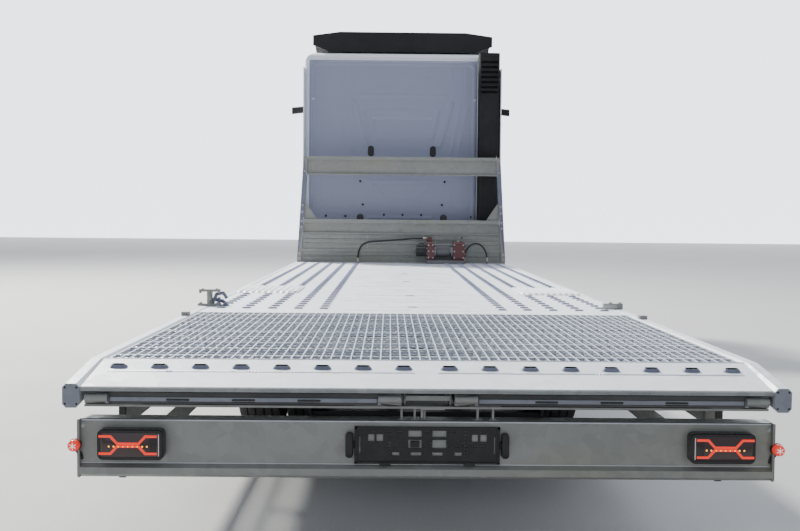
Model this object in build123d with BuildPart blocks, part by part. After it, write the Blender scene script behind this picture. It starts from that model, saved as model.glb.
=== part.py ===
from build123d import *
import math
import os

os.makedirs("parts", exist_ok=True)

# A two-axle car transporter: a cab-over lorry with a galvanised sliding-ramp bed.
# Millimetres. +Y is forward, +X is the lorry's right side, Z is up from the road.
# The origin is on the road under the middle of the whole vehicle.

# Layout along the lorry
bed_length = 8500           # rail end caps to the headboard
headboard_depth = 80
cab_gap = 300               # headboard to the cab's rear wall
cab_length = 2250
bumper_reach = 100          # bumper ahead of the cab's front
rear_overhang = 4000        # rail end caps to the rear axle
front_overhang = 1400       # front axle to the bumper
overall_length = bed_length + headboard_depth + cab_gap + cab_length + bumper_reach
rear_y = -overall_length / 2
headboard_y = rear_y + bed_length
cab_rear_y = headboard_y + headboard_depth + cab_gap
cab_front_y = cab_rear_y + cab_length
front_y = cab_front_y + bumper_reach
rear_axle_y = rear_y + rear_overhang
front_axle_y = front_y - front_overhang

# Heights and thicknesses of the bed
deck_z = 1000               # top of the deck above the road
deck_thickness = 25
beam_height = 50            # cross beams under the deck
sill_height = 60            # lengthwise sills between the beams and the chassis
frame_top = deck_z - deck_thickness - beam_height - sill_height
frame_height = 265
frame_half_width = 430
frame_web = 8
frame_flange = 80
bed_width = 2550            # over the side rails
rail_width = 60
rail_height = 85
rail_chamfer = 12
rail_inner_x = bed_width / 2 - rail_width
fit_gap = 0.3               # drop-in seats and sliding pads
running_gap = 0.08          # shafts and pins in their bores

# Rear end of the bed
ramp_slope_length = 310     # where the deck starts to fall towards the rear edge
rail_drop = 46              # how far the rails fall at the rear end
plate_drop = 59
plate_lip = 14
grating_length = 1840
grating_pitch = 38
grating_bar = 5
grating_bar_height = 30
grating_flat_height = 10
rear_beam_height = 30
ramp_zone_length = 2400     # from the rear end to the front of the ramp slots
tail_y = rear_y + ramp_slope_length
grating_front_y = tail_y + grating_length

# Wheels
tyre_radius = 475
tyre_width = 315
rim_radius = 286
rim_width = 255
front_wheel_x = 1040
rear_outer_x = 1062
twin_spacing = 345
axle_z = tyre_radius

# Cab
cab_half = 1200
cab_wall = 40
cab_top = 3556
cab_sill_z = 960
cab_front_bottom = 790
floor_z = 1130
floor_thickness = 40
tilt_y = cab_front_y - 15
tilt_z = 690

far = 2 * overall_length    # reaches past the whole lorry, for cuts and half spaces


def spread(low, high, count):
    # Even places from the first to the last.
    return [low + (high - low) * index / (count - 1) for index in range(count)]


def across(y):
    # An upright plane across the lorry: local x is X, local y is Z, its normal points rearward.
    return Plane(origin=(0, y, 0), x_dir=(1, 0, 0), z_dir=(0, -1, 0))


def along(x):
    # An upright plane along the lorry: local x is Y, local y is Z, its normal points right.
    return Plane(origin=(x, 0, 0), x_dir=(0, 1, 0), z_dir=(1, 0, 0))


def level(z):
    return Plane.XY.offset(z)


def block(x, y, z, mode=Mode.ADD):
    # A rectangular member given by its low and high value on each axis.
    with Locations(((x[0] + x[1]) / 2, (y[0] + y[1]) / 2, (z[0] + z[1]) / 2)):
        Box(x[1] - x[0], y[1] - y[0], z[1] - z[0], mode=mode)


def both_sides(x, y, z, mode=Mode.ADD):
    # The same member on the right and, mirrored, on the left.
    block(x, y, z, mode)
    block((-x[1], -x[0]), y, z, mode)


def rod(x, y, z, radius, length, axis="X", mode=Mode.ADD):
    # A round member centred on a point.
    turn = {"X": (0, 90, 0), "Y": (90, 0, 0), "Z": (0, 0, 0)}[axis]
    with Locations((x, y, z)):
        Cylinder(radius, length, rotation=turn, mode=mode)


def save(builder, name):
    builder.part.label = name
    export_step(builder.part, f"parts/{name}.step")


# Chassis frame: two C rails, cross members, cab hinge brackets and rear cab mounts
frame_bottom = frame_top - frame_height
frame_rear_y = rear_y + 165
frame_front_y = cab_front_y - 415
cross_member_y = [
    *spread(frame_rear_y + 70, rear_axle_y - 835, 4), *spread(rear_axle_y + 835, cab_rear_y - 485, 5),
    frame_front_y - 40,
]
hinge_plate_x = (345, 365)
hinge_pin_radius = 15
cab_post_y = cab_rear_y + 135
with BuildPart() as chassis_frame:
    with BuildSketch(across(frame_rear_y)):
        for side in (-1, 1):
            web_x = side * (frame_half_width - frame_web / 2)
            flange_x = side * (frame_half_width - frame_flange / 2)
            with Locations((web_x, frame_top - frame_height / 2)):
                Rectangle(frame_web, frame_height)
            with Locations(
                (flange_x, frame_top - frame_web / 2),
                (flange_x, frame_bottom + frame_web / 2),
            ):
                Rectangle(frame_flange, frame_web)
    extrude(amount=frame_rear_y - frame_front_y)
    inner_x = frame_half_width - frame_web
    for y in cross_member_y:
        block((-inner_x, inner_x), (y - 40, y + 40), (frame_bottom + 110, frame_top - 40))
    both_sides(hinge_plate_x, (frame_front_y - 5, tilt_y + 30), (frame_bottom + 40, tilt_z + 40))
    for side in (-1, 1):
        rod(side * 370, tilt_y, tilt_z, hinge_pin_radius, 50)
    post_x = (frame_half_width - frame_flange, frame_half_width)
    both_sides(post_x, (cab_post_y - 40, cab_post_y + 40), (frame_top, floor_z - fit_gap))
save(chassis_frame, "chassis_frame")

# Bed frame: sills on the chassis and cross beams out to the side rails
sill_width = 60
beam_width = 45
sill_rear_y = rear_y + ramp_zone_length + 30
wheel_well_half = 445       # no cross beam stands over the rear wheels
beam_rows = [
    *spread(sill_rear_y + 35, rear_axle_y - wheel_well_half, 3),
    *spread(rear_axle_y + wheel_well_half, headboard_y - 345, 8), headboard_y + headboard_depth / 2,
]
beam_gaps = 4
rear_beam_pitch = (grating_length - 35) / beam_gaps
rear_beam_rows = [tail_y + 20 + index * rear_beam_pitch for index in range(beam_gaps + 1)]
beam_z = (deck_z - deck_thickness - beam_height, deck_z - deck_thickness)
rear_beam_top = deck_z - grating_bar_height - grating_flat_height
rear_beam_z = (rear_beam_top - rear_beam_height, rear_beam_top)
sill_x = (frame_half_width - sill_width - 10, frame_half_width - 10)
with BuildPart() as bed_frame:
    both_sides(sill_x, (sill_rear_y, headboard_y + headboard_depth), (frame_top, beam_z[0]))
    for y in beam_rows:
        block((-rail_inner_x, rail_inner_x), (y - beam_width / 2, y + beam_width / 2), beam_z)
save(bed_frame, "bed_frame")

# Ramp guides: beams over the slots, cross flats with sliding pads, centre and outer guide plates
ramp_thickness = 40
ramp_top = deck_z - 80
ramp_bottom = ramp_top - ramp_thickness
ramp_inner_x = 95
ramp_outer_x = rail_inner_x - 13
guide_flat = 8
guide_plate = 6
guide_half = rail_inner_x - 2
slot_front_y = rear_y + ramp_zone_length
guide_rows = [*spread(rear_y + 75, slot_front_y - 385, 4), slot_front_y - 45]
pad_x = [(150, 260), (1010, 1120)]
with BuildPart() as ramp_guides:
    for y in rear_beam_rows:
        block((-rail_inner_x, rail_inner_x), (y - beam_width / 2, y + beam_width / 2), rear_beam_z)
    for y in guide_rows:
        block((-guide_half, guide_half), (y - 30, y + 30), (frame_top, frame_top + guide_flat))
        for pad in pad_x:
            both_sides(pad, (y - 25, y + 25), (frame_top + guide_flat, ramp_bottom - fit_gap))
    for plate in [(78, 78 + guide_plate), (guide_half - guide_plate, guide_half)]:
        both_sides(plate, (rear_y + 65, slot_front_y), (frame_top, rear_beam_z[0]))
    both_sides((0, 78), (rear_y + 40, rear_y + 70), (895, 912))
save(ramp_guides, "ramp_guides")

# Side rails: closed tubes that kink down at the rear
rail_z = (deck_z - rail_height, deck_z)
kink_y = rear_y + 300
with BuildPart() as side_rails:
    for side in (-1, 1):
        with BuildSketch(along(side * rail_inner_x)):
            with BuildLine():
                Polyline(
                    (rear_y, rail_z[0] - rail_drop),
                    (rear_y, rail_z[1] - rail_drop),
                    (kink_y, rail_z[1]),
                    (headboard_y + headboard_depth, rail_z[1]),
                    (headboard_y + headboard_depth, rail_z[0]),
                    (kink_y, rail_z[0]),
                    close=True,
                )
            make_face()
        extrude(amount=side * rail_width)
    long_edges = side_rails.edges().filter_by(
        lambda edge: abs(edge.tangent_at(0.5).X) < 0.1 and edge.length > 200
    )
    chamfer(long_edges, rail_chamfer)
save(side_rails, "side_rails")

# Deck planks with their seams and a cross joint, and raised covers over the rear wheels
plank_width = 150
plank_count = 5             # planks on each side of the smooth middle
seam_width = 5
seam_depth = 4
joint_y = headboard_y - 330     # cross joint of the deck, behind the plank that carries the winch
cover_inner_x = 787
cover_half_length = 425
cover_slope = 60
cover_rise = 35
rib_count = 9
rib_width = 20
rib_height = 4
deck_half = rail_inner_x - fit_gap
with BuildPart() as bed_deck:
    with BuildSketch(across(grating_front_y)):
        with Locations((0, deck_z - deck_thickness / 2)):
            Rectangle(2 * deck_half, deck_thickness)
        for index in range(plank_count):
            seam_x = deck_half - 13 - (index + 1) * plank_width
            with Locations((seam_x, deck_z), (-seam_x, deck_z)):
                Rectangle(seam_width, 2 * seam_depth, mode=Mode.SUBTRACT)
    extrude(amount=grating_front_y - headboard_y - headboard_depth)
    joint_z = (deck_z - seam_depth, deck_z + seam_depth)
    block((-deck_half, deck_half), (joint_y, joint_y + seam_width), joint_z, Mode.SUBTRACT)
    cover_y = (rear_axle_y - cover_half_length, rear_axle_y + cover_half_length)
    both_sides((cover_inner_x, deck_half), cover_y, (900, 1100), Mode.SUBTRACT)
    under_z = deck_z - deck_thickness
    for side in (-1, 1):
        with BuildSketch(along(side * cover_inner_x)):
            with BuildLine():
                Polyline(
                    (cover_y[0], under_z),
                    (cover_y[0], deck_z),
                    (cover_y[0] + cover_slope, deck_z + cover_rise),
                    (cover_y[1] - cover_slope, deck_z + cover_rise),
                    (cover_y[1], deck_z),
                    (cover_y[1], under_z),
                    (cover_y[1] - cover_slope, under_z + cover_rise),
                    (cover_y[0] + cover_slope, under_z + cover_rise),
                    close=True,
                )
            make_face()
        extrude(amount=side * (deck_half - cover_inner_x))
    rib_y = (cover_y[0] + cover_slope, cover_y[1] - cover_slope)
    for rib_x in spread(cover_inner_x + 25, deck_half - 25 - rib_width, rib_count):
        rib_z = (deck_z + cover_rise - 2, deck_z + cover_rise + rib_height)
        both_sides((rib_x, rib_x + rib_width), rib_y, rib_z)
save(bed_deck, "bed_deck")

# Grating: bearing bars welded on flats that lie on the rear beams
bar_count = int(2 * (deck_half - 10) / grating_pitch)
with BuildPart() as rear_grating:
    for y in rear_beam_rows:
        flat_y = (max(y - 20, tail_y + 1), y + 20)
        block((-deck_half, deck_half), flat_y, (rear_beam_top, rear_beam_top + grating_flat_height))
    bars_y = (tail_y + 1, grating_front_y - 1)
    bars_middle = (bars_y[0] + bars_y[1]) / 2
    with Locations((0, bars_middle, deck_z - grating_bar_height / 2)):
        with GridLocations(grating_pitch, 1, bar_count + 1, 1):
            Box(grating_bar, bars_y[1] - bars_y[0], grating_bar_height)
save(rear_grating, "rear_grating")

# Tail plate: falls to the rear edge, with a strip of oval holes
hole_pitch = 150
hole_gap = 169              # between the two middle holes
hole_size = (45, 14)
hole_y = rear_y + 210
plate_underside = 26
with BuildPart() as tail_plate:
    with BuildSketch(along(-deck_half)):
        with BuildLine():
            Polyline(
                (rear_y + 5, deck_z - plate_drop - plate_lip),
                (rear_y + 5, deck_z - plate_drop),
                (tail_y, deck_z),
                (tail_y, deck_z - plate_underside),
                (rear_y + 45, deck_z - plate_drop - plate_lip),
                close=True,
            )
        make_face()
    extrude(amount=2 * deck_half)
    with BuildSketch(level(deck_z - 100)):
        for index in range(8):
            x = hole_gap / 2 + index * hole_pitch
            with Locations((x, hole_y), (-x, hole_y)):
                SlotOverall(*hole_size)
    extrude(amount=200, mode=Mode.SUBTRACT)
save(tail_plate, "tail_plate")

# Ramps: a frame with rungs and a folded lip with two hook sockets, stowed under the deck
ramp_length = 2280
ramp_rear_y = rear_y + 25
ramp_border = 60
rung_count = 9
socket_radius = 15
socket_length = 80
for side, name in ((-1, "ramp_left"), (1, "ramp_right")):
    with BuildPart() as ramp:
        ramp_y = (ramp_rear_y, ramp_rear_y + ramp_length)
        centre_x = side * (ramp_inner_x + ramp_outer_x) / 2
        half = (ramp_outer_x - ramp_inner_x) / 2
        block((centre_x - half, centre_x + half), ramp_y, (ramp_bottom, ramp_top))
        opening = (ramp_length - ramp_border * (rung_count + 1)) / rung_count
        for index in range(rung_count):
            y = ramp_rear_y + ramp_border + index * (opening + ramp_border)
            block(
                (centre_x - half + ramp_border, centre_x + half - ramp_border),
                (y, y + opening), (ramp_bottom - 1, ramp_top + 1), Mode.SUBTRACT,
            )
        for end in (-1, 1):
            socket_x = centre_x + end * (half - socket_length / 2)
            rod(socket_x, ramp_rear_y - 5, ramp_top - 18, socket_radius, socket_length)
        for hand_x in (-230, 0, 230):
            block(
                (centre_x + hand_x - 40, centre_x + hand_x + 40),
                (ramp_rear_y - 20, ramp_rear_y + 30), (ramp_bottom + 6, ramp_bottom + 18), Mode.SUBTRACT,
            )
    save(ramp, name)

# Headboard: posts that lean in, a deep top beam, a mid rail over a folded lower panel
post_width = 50
head_half_bottom = 1250
head_half_top = 1175
head_top = 2264
window_z = (1515, 2046)
panel_top = 1471
fold_z = 1343
groove_z = 1148


def head_half(z):
    # Half width of the headboard at a height.
    share = (z - deck_z) / (head_top - deck_z)
    return head_half_bottom + (head_half_top - head_half_bottom) * share


def head_opening(z_low, z_high, margin):
    # Corners of an opening between the posts.
    low, high = head_half(z_low) - margin, head_half(z_high) - margin
    return [(-low, z_low), (low, z_low), (high, z_high), (-high, z_high)]


with BuildPart() as headboard:
    with BuildSketch(across(headboard_y)):
        with BuildLine():
            Polyline(*head_opening(deck_z, head_top, 0), close=True)
        make_face()
        with BuildLine():
            Polyline(*head_opening(*window_z, post_width), close=True)
        make_face(mode=Mode.SUBTRACT)
    extrude(amount=-headboard_depth)
    # Pockets leave a folded panel below and a plate under the top flange.
    for z_low, z_high, depth in [
        (deck_z + 15, groove_z - 12, 30), (groove_z + 12, fold_z, 22),
        (fold_z + 12, panel_top, 34), (window_z[1] + 12, head_top - 40, 30),
    ]:
        with BuildSketch(across(headboard_y)):
            with BuildLine():
                Polyline(*head_opening(z_low, z_high, post_width), close=True)
            make_face()
        extrude(amount=-depth, mode=Mode.SUBTRACT)
    with BuildSketch(across(headboard_y + headboard_depth)):
        with BuildLine():
            Polyline(*head_opening(deck_z + 15, panel_top, post_width), close=True)
        make_face()
    extrude(amount=headboard_depth - 42, mode=Mode.SUBTRACT)
    # Gussets in the lower corners of the window
    for side in (-1, 1):
        corner = side * (head_half(window_z[0]) - post_width + 1)
        with BuildSketch(across(headboard_y + 30)):
            with BuildLine():
                Polyline(
                    (corner, window_z[0] - 5), (corner - side * 160, window_z[0] - 5),
                    (corner - side * 13, window_z[0] + 210), close=True,
                )
            make_face()
        extrude(amount=-8)
save(headboard, "headboard")

# Winch: two housings on a base, a motor on the left, ports and deck glands for its hoses
winch_y = headboard_y - 170
winch_z = deck_z + 150
housing_x = [(300, 383), (603, 739)]
drum_core = 50
drum_flange = 92
shaft_radius = 15
hose_left_diameter = 20
hose_right_diameter = 18
hose_y = headboard_y - 85
port_z = winch_z + 148
with BuildPart() as winch:
    for x in housing_x:
        with BuildSketch(along(x[0])):
            with Locations((winch_y, winch_z)):
                RectangleRounded(200, 226, 40)
        extrude(amount=x[1] - x[0])
    for y in (winch_y - 80, winch_y + 50):
        block((housing_x[0][0], housing_x[1][1]), (y, y + 30), (deck_z, winch_z - 105))
    for y in (winch_y - 75, winch_y + 75):
        rod(493, y, winch_z + 75, 10, housing_x[1][0] - housing_x[0][1] + 10)
    rod(235, winch_y, winch_z, 62, 130)
    rod(housing_x[0][1], winch_y, winch_z, shaft_radius + running_gap, 40, mode=Mode.SUBTRACT)
    rod(housing_x[1][0], winch_y, winch_z, shaft_radius + running_gap, 40, mode=Mode.SUBTRACT)
    block((300, 360), (hose_y - 12, hose_y + 12), (winch_z + 100, port_z + 14))
    block((730, 764), (hose_y - 12, hose_y + 12), (deck_z, deck_z + 30))
    rod(-517, hose_y, deck_z + 7, 18, 14, "Z")
    rod(1020, hose_y, deck_z + 15, 15, 30, "Z")
save(winch, "winch")

with BuildPart() as winch_drum:
    drum_x = (housing_x[0][1] + 5, housing_x[1][0] - 5)
    drum_mid = (drum_x[0] + drum_x[1]) / 2
    drum_length = drum_x[1] - drum_x[0]
    rod(drum_mid, winch_y, winch_z, drum_core, drum_length)
    rod(drum_x[0] + 5, winch_y, winch_z, drum_flange, 10)
    rod(drum_x[1] - 5, winch_y, winch_z, drum_flange, 10)
    rod(drum_mid, winch_y, winch_z, shaft_radius, drum_length + 40)
save(winch_drum, "winch_drum")

# Hydraulic hoses, each with its route as a list of points in X and Z at one Y
hose_left_route = [
    (-517, 1014), (-517, 1092), (-488, 1198), (-403, 1252), (-244, 1262),
    (-70, 1274), (100, 1291), (205, 1298), (300, 1298),
]
hose_right_route = [
    (752, 1030), (752, 1106), (785, 1185), (845, 1240),
    (925, 1240), (985, 1185), (1020, 1106), (1020, 1030),
]


def bend_radii(points):
    # Each bend is as wide as the shorter of its two runs allows.
    radii = []
    for before, here, after in zip(points, points[1:], points[2:]):
        run_in, run_out = here - before, after - here
        turn = math.radians(run_in.get_angle(run_out))
        radii.append(0.45 * min(run_in.length, run_out.length) / math.tan(turn / 2))
    return radii


for name, route, diameter in [
    ("hose_left", hose_left_route, hose_left_diameter),
    ("hose_right", hose_right_route, hose_right_diameter),
]:
    points = [Vector(x, hose_y, z) for x, z in route]
    radii = bend_radii(points)
    print(name, "radii", [round(radius) for radius in radii])
    with BuildPart() as hose:
        with BuildLine() as path:
            FilletPolyline(*points, radius=radii)
        with BuildSketch(Plane(origin=points[0], z_dir=points[1] - points[0])):
            Circle(diameter / 2)
        sweep()
    length = path.wire().length
    volume_ratio = hose.part.volume / (math.pi * diameter ** 2 / 4 * length)
    print(name, "length", round(length), "volume over section times length", round(volume_ratio, 4))
    save(hose, name)

# Light board: a C profile across the rear with end plates and brackets to the chassis
board_half = 1230
board_z = (612, 820)
board_y = rear_y + 60
board_gauge = 4
with BuildPart() as light_board:
    with BuildSketch(along(-board_half)):
        with BuildLine():
            Polyline(
                (board_y + 70, board_z[1] - board_gauge), (board_y + board_gauge, board_z[1] - board_gauge),
                (board_y + board_gauge, board_z[0] + 46), (board_y - 14, board_z[0] + 34),
                (board_y - 14, board_z[0] + 14), (board_y + board_gauge, board_z[0] + board_gauge),
                (board_y + 70, board_z[0] + board_gauge), (board_y + 70, board_z[0]),
                (board_y, board_z[0]), (board_y - 18, board_z[0] + 12),
                (board_y - 18, board_z[0] + 36), (board_y, board_z[0] + 48),
                (board_y, board_z[1]), (board_y + 70, board_z[1]), close=True,
            )
        make_face()
    extrude(amount=2 * board_half)
    both_sides((board_half, board_half + 5), (board_y - 18, board_y + 70), board_z)
    bracket_x = (frame_half_width - frame_web, frame_half_width)
    both_sides(bracket_x, (board_y + board_gauge, frame_rear_y), (board_z[0] + 20, board_z[1] - 20))
save(light_board, "light_board")

# Tail lamps with their markers on arms at the ends of the board
lamp_x = (929, 1161)
lamp_z = (680, 789)
marker_x = 1247
marker_z = 728
with BuildPart() as rear_lamps:
    for side in (-1, 1):
        with BuildSketch(across(board_y)):
            with Locations((side * (lamp_x[0] + lamp_x[1]) / 2, (lamp_z[0] + lamp_z[1]) / 2)):
                RectangleRounded(lamp_x[1] - lamp_x[0], lamp_z[1] - lamp_z[0], 18)
        extrude(amount=45)
        rod(side * marker_x, board_y - 32, marker_z, 20, 28, "Y")
save(rear_lamps, "rear_lamps")

# Plate holder: a moulded frame with cut-outs, a lamp at each end, no plate
holder_z = (665, 798)
with BuildPart() as plate_holder:
    with BuildSketch(across(board_y)):
        with Locations((0, (holder_z[0] + holder_z[1]) / 2)):
            RectangleRounded(520, holder_z[1] - holder_z[0], 10)
        with Locations((0, 738)):
            with GridLocations(340, 1, 2, 1):
                Rectangle(120, 60, mode=Mode.SUBTRACT)
            with GridLocations(140, 40, 2, 2):
                Rectangle(26, 22, mode=Mode.SUBTRACT)
        with Locations((0, 683)):
            with GridLocations(96, 1, 5, 1):
                Rectangle(60, 14, mode=Mode.SUBTRACT)
    extrude(amount=12)
    both_sides((262, 290), (board_y - 30, board_y), (690, 778))
save(plate_holder, "plate_holder")

# Clamp on the left rail, its folded twin on the right rail, and a small lug on each rail
clamp_y = grating_front_y + 400
lug_y = grating_front_y - 190
rail_mid_x = bed_width / 2 - rail_width / 2
with BuildPart() as side_clamps:
    block((-rail_mid_x - 45, -rail_mid_x + 90), (clamp_y - 20, clamp_y + 20), (deck_z, deck_z + 14))
    block((-rail_mid_x + 10, -rail_mid_x + 40), (clamp_y - 15, clamp_y + 15), (deck_z + 14, deck_z + 86))
    block((-rail_mid_x - 30, -rail_mid_x + 80), (clamp_y - 20, clamp_y + 20), (deck_z + 86, deck_z + 100))
    block((rail_mid_x - 90, rail_mid_x + 25), (clamp_y - 20, clamp_y + 20), (deck_z, deck_z + 34))
    for side in (-1, 1):
        with Locations((side * rail_mid_x, lug_y, deck_z + 10)):
            Box(40, 50, 20)
save(side_clamps, "side_clamps")

# Side guards: two bars on posts hung from the rails, ahead of and behind the rear wheels
box_front_y = cab_rear_y - 515      # front of the boxes beside the chassis
box_rear_y = box_front_y - 2350     # rear of the tank and the rearmost box
guard_x = (rail_inner_x + 17, rail_inner_x + 42)
guard_post_x = (rail_inner_x + 5, rail_inner_x + 17)
guard_spans = [(rear_y + 665, rear_axle_y - 635), (rear_axle_y + 665, box_rear_y - 150)]
guard_bars = [(450, 560), (660, 770)]
with BuildPart() as side_guards:
    for span in guard_spans:
        for bar_z in guard_bars:
            both_sides(guard_x, span, bar_z)
        for y in (span[0] + 150, span[1] - 210):
            both_sides(guard_post_x, (y, y + 60), (guard_bars[0][0], rail_z[0]))
save(side_guards, "side_guards")

# Mudguards: part rings round a wheel, each on a bracket from the chassis rail


def wing(axle_y, radius, thickness, angles, x_range, bracket_x):
    # One arc of mudguard in the side view, pulled across the wheel, with its bracket bar.
    low, high = angles
    for side in (-1, 1):
        with BuildSketch(along(side * x_range[0])) as ring:
            with BuildLine():
                outer = CenterArc((axle_y, axle_z), radius + thickness, low, high - low)
                inner = CenterArc((axle_y, axle_z), radius, low, high - low)
                Line(outer @ 0, inner @ 0)
                Line(outer @ 1, inner @ 1)
            make_face()
        extrude(ring.sketch, amount=side * (x_range[1] - x_range[0]))
        middle = math.radians((low + high) / 2)
        bar_y = axle_y + (radius + thickness + 14) * math.cos(middle)
        bar_z = axle_z + (radius + thickness + 14) * math.sin(middle)
        reach = (bracket_x[0] + bracket_x[1]) / 2
        rod(side * reach, bar_y, bar_z, 15, bracket_x[1] - bracket_x[0])


rear_wing_x = (585, 1215)
with BuildPart() as rear_mudguards:
    for angles in [(8, 58), (122, 172)]:
        wing(rear_axle_y, 500, 5, angles, rear_wing_x, (frame_half_width, 900))
save(rear_mudguards, "rear_mudguards")

arch_radius = 610
front_wing_x = (640, 1190)
step_y = (front_axle_y + 595, cab_front_y - 275)
with BuildPart() as front_mudguards:
    for angles in [(-2, 58), (122, 182)]:
        wing(front_axle_y, 585, 5, angles, front_wing_x, (frame_half_width, 900))
    # Steps below each door
    for side in (-1, 1):
        with BuildSketch(along(side * 900)):
            with BuildLine():
                Polyline(
                    (step_y[0], 330), (step_y[1], 330), (step_y[1], 900), (step_y[0], 900), close=True,
                )
            make_face()
        extrude(amount=side * 300)
    for z_low in (400, 580, 760):
        both_sides((1060, 1210), (step_y[0] + 50, step_y[1] - 50), (z_low, z_low + 110), Mode.SUBTRACT)
    both_sides((frame_half_width, 900), (step_y[0] + 200, step_y[0] + 240), (640, 690))
save(front_mudguards, "front_mudguards")

# Tank, and boxes for battery, exhaust and tools, strapped to the chassis rails
box_x = (frame_half_width + 40, 1160)


def chest(side, y_range, z_range, corner):
    # A rounded chest along the lorry with two bracket bars to the rail.
    middle = ((box_x[0] + box_x[1]) / 2 * side, (z_range[0] + z_range[1]) / 2)
    with BuildSketch(across(y_range[0])) as section_face:
        with Locations(middle):
            RectangleRounded(box_x[1] - box_x[0], z_range[1] - z_range[0], corner)
    extrude(section_face.sketch, amount=y_range[0] - y_range[1])
    for y in (y_range[0] + 120, y_range[1] - 200):
        x = sorted((side * frame_half_width, side * (box_x[0] + 5)))
        block(x, (y, y + 80), (z_range[1] - 200, z_range[1] - 60))


with BuildPart() as fuel_tank:
    chest(1, (box_rear_y, box_front_y - 1100), (330, 850), 90)
save(fuel_tank, "fuel_tank")

with BuildPart() as side_boxes:
    chest(1, (box_front_y - 900, box_front_y), (340, 850), 60)
    chest(-1, (box_rear_y, box_front_y - 1250), (380, 850), 20)
    chest(-1, (box_front_y - 1050, box_front_y - 250), (380, 850), 30)
save(side_boxes, "side_boxes")

# Front axle: a dropped beam with kingpin eyes, spring seats, leaf springs and their hangers
kingpin_x = 885
kingpin_radius = 20
spring_x = (355, 445)
spring_half = 700
spring_z = 490
spring_rise = 62
with BuildPart() as front_axle:
    with BuildSketch(across(front_axle_y - 45)):
        with BuildLine():
            Polyline(
                (-850, 432), (-520, 380), (520, 380), (850, 432),
                (850, 518), (800, 518), (520, 455), (-520, 455), (-800, 518), (-850, 518), close=True,
            )
        make_face()
    extrude(amount=-90)
    both_sides(spring_x, (front_axle_y - 60, front_axle_y + 60), (440, spring_z))
    for side in (-1, 1):
        rod(side * kingpin_x, front_axle_y, 475, 46, 86, "Z")
        rod(side * kingpin_x, front_axle_y, 475, kingpin_radius + running_gap, 200, "Z", Mode.SUBTRACT)
        with BuildSketch(along(side * spring_x[0])):
            with BuildLine():
                low = ThreePointArc(
                    (front_axle_y - spring_half, spring_z + spring_rise), (front_axle_y, spring_z),
                    (front_axle_y + spring_half, spring_z + spring_rise),
                )
                high = ThreePointArc(
                    (front_axle_y - spring_half, spring_z + spring_rise + 20), (front_axle_y, spring_z + 45),
                    (front_axle_y + spring_half, spring_z + spring_rise + 20),
                )
                Line(low @ 0, high @ 0)
                Line(low @ 1, high @ 1)
            make_face()
        extrude(amount=side * (spring_x[1] - spring_x[0]))
    for y in (front_axle_y - spring_half, front_axle_y + spring_half):
        both_sides(spring_x, (y - 30, y + 30), (spring_z + 50, frame_bottom))
save(front_axle, "front_axle")

# Knuckles: a yoke round the axle eye, the kingpin, a stub for the hub and an arm to the track rod
stub_end_x = 1165
stub_radius = 38
arm_end = (-80, -170)       # from the kingpin to the ball joint, on the right knuckle
arm_z = (372, 400)
yoke_z = (arm_z[0], 420)     # lower yoke plate, under the axle's eye
for side, name in ((-1, "knuckle_left"), (1, "knuckle_right")):
    with BuildPart() as knuckle:
        for z_low, z_high in (yoke_z, (530, 562)):
            with BuildSketch(level(z_low)):
                with Locations((side * kingpin_x, front_axle_y)):
                    Circle(46)
                with Locations((side * (kingpin_x + 45), front_axle_y)):
                    Rectangle(90, 80)
            extrude(amount=z_high - z_low)
        x_block = sorted((side * (kingpin_x + 55), side * (kingpin_x + 90)))
        block(x_block, (front_axle_y - 40, front_axle_y + 40), (arm_z[0], 562))
        rod(side * kingpin_x, front_axle_y, 475, kingpin_radius, 174, "Z")
        stub_start = kingpin_x + 88
        rod(side * (stub_start + stub_end_x) / 2, front_axle_y, axle_z, stub_radius, stub_end_x - stub_start)
        with BuildSketch(level(arm_z[0])):
            with BuildLine():
                Polyline(
                    (side * (kingpin_x - 30), front_axle_y), (side * (kingpin_x + 30), front_axle_y),
                    (side * (kingpin_x + arm_end[0] + 20), front_axle_y + arm_end[1]),
                    (side * (kingpin_x + arm_end[0] - 20), front_axle_y + arm_end[1]), close=True,
                )
            make_face()
            with Locations((side * (kingpin_x + arm_end[0]), front_axle_y + arm_end[1])):
                Circle(28)
        extrude(amount=arm_z[1] - arm_z[0])
    save(knuckle, name)

# Track rod under the steering arms
rod_radius = 14
rod_z = arm_z[0] - 22
with BuildPart() as track_rod:
    rod_y = front_axle_y + arm_end[1]
    ball_x = kingpin_x + arm_end[0]
    rod(0, rod_y, rod_z, rod_radius, 2 * ball_x)
    for side in (-1, 1):
        rod(side * ball_x, rod_y, rod_z, 24, 30, "Z")
        stud_low = rod_z + 10
        stud_length = arm_z[0] - fit_gap - stud_low
        rod(side * ball_x, rod_y, stud_low + stud_length / 2, 10, stud_length, "Z")
save(track_rod, "track_rod")

# Rear axle: casing with its differential, trailing arms from hangers, and air springs
spindle_radius = 45
arm_x = (345, 435)
bellows_y = rear_axle_y - 400
hanger_y = rear_axle_y + 560
with BuildPart() as rear_axle:
    rod(0, rear_axle_y, axle_z, 62, 1500)
    with Locations((0, rear_axle_y, axle_z)):
        Sphere(190)
    rod(0, rear_axle_y + 190, axle_z, 60, 180, "Y")
    for side in (-1, 1):
        rod(side * 810, rear_axle_y, axle_z, spindle_radius, 180)
    both_sides(arm_x, (bellows_y - 60, hanger_y + 40), (360, 405))
    both_sides((arm_x[0] + 5, arm_x[1] - 5), (rear_axle_y - 60, rear_axle_y + 60), (400, 430))
    both_sides((arm_x[0] + 5, arm_x[1] - 5), (hanger_y - 40, hanger_y + 40), (400, frame_bottom))
    for side in (-1, 1):
        rod(side * 390, bellows_y, (405 + frame_bottom) / 2, 120, frame_bottom - 405, "Z")
save(rear_axle, "rear_axle")

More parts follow.
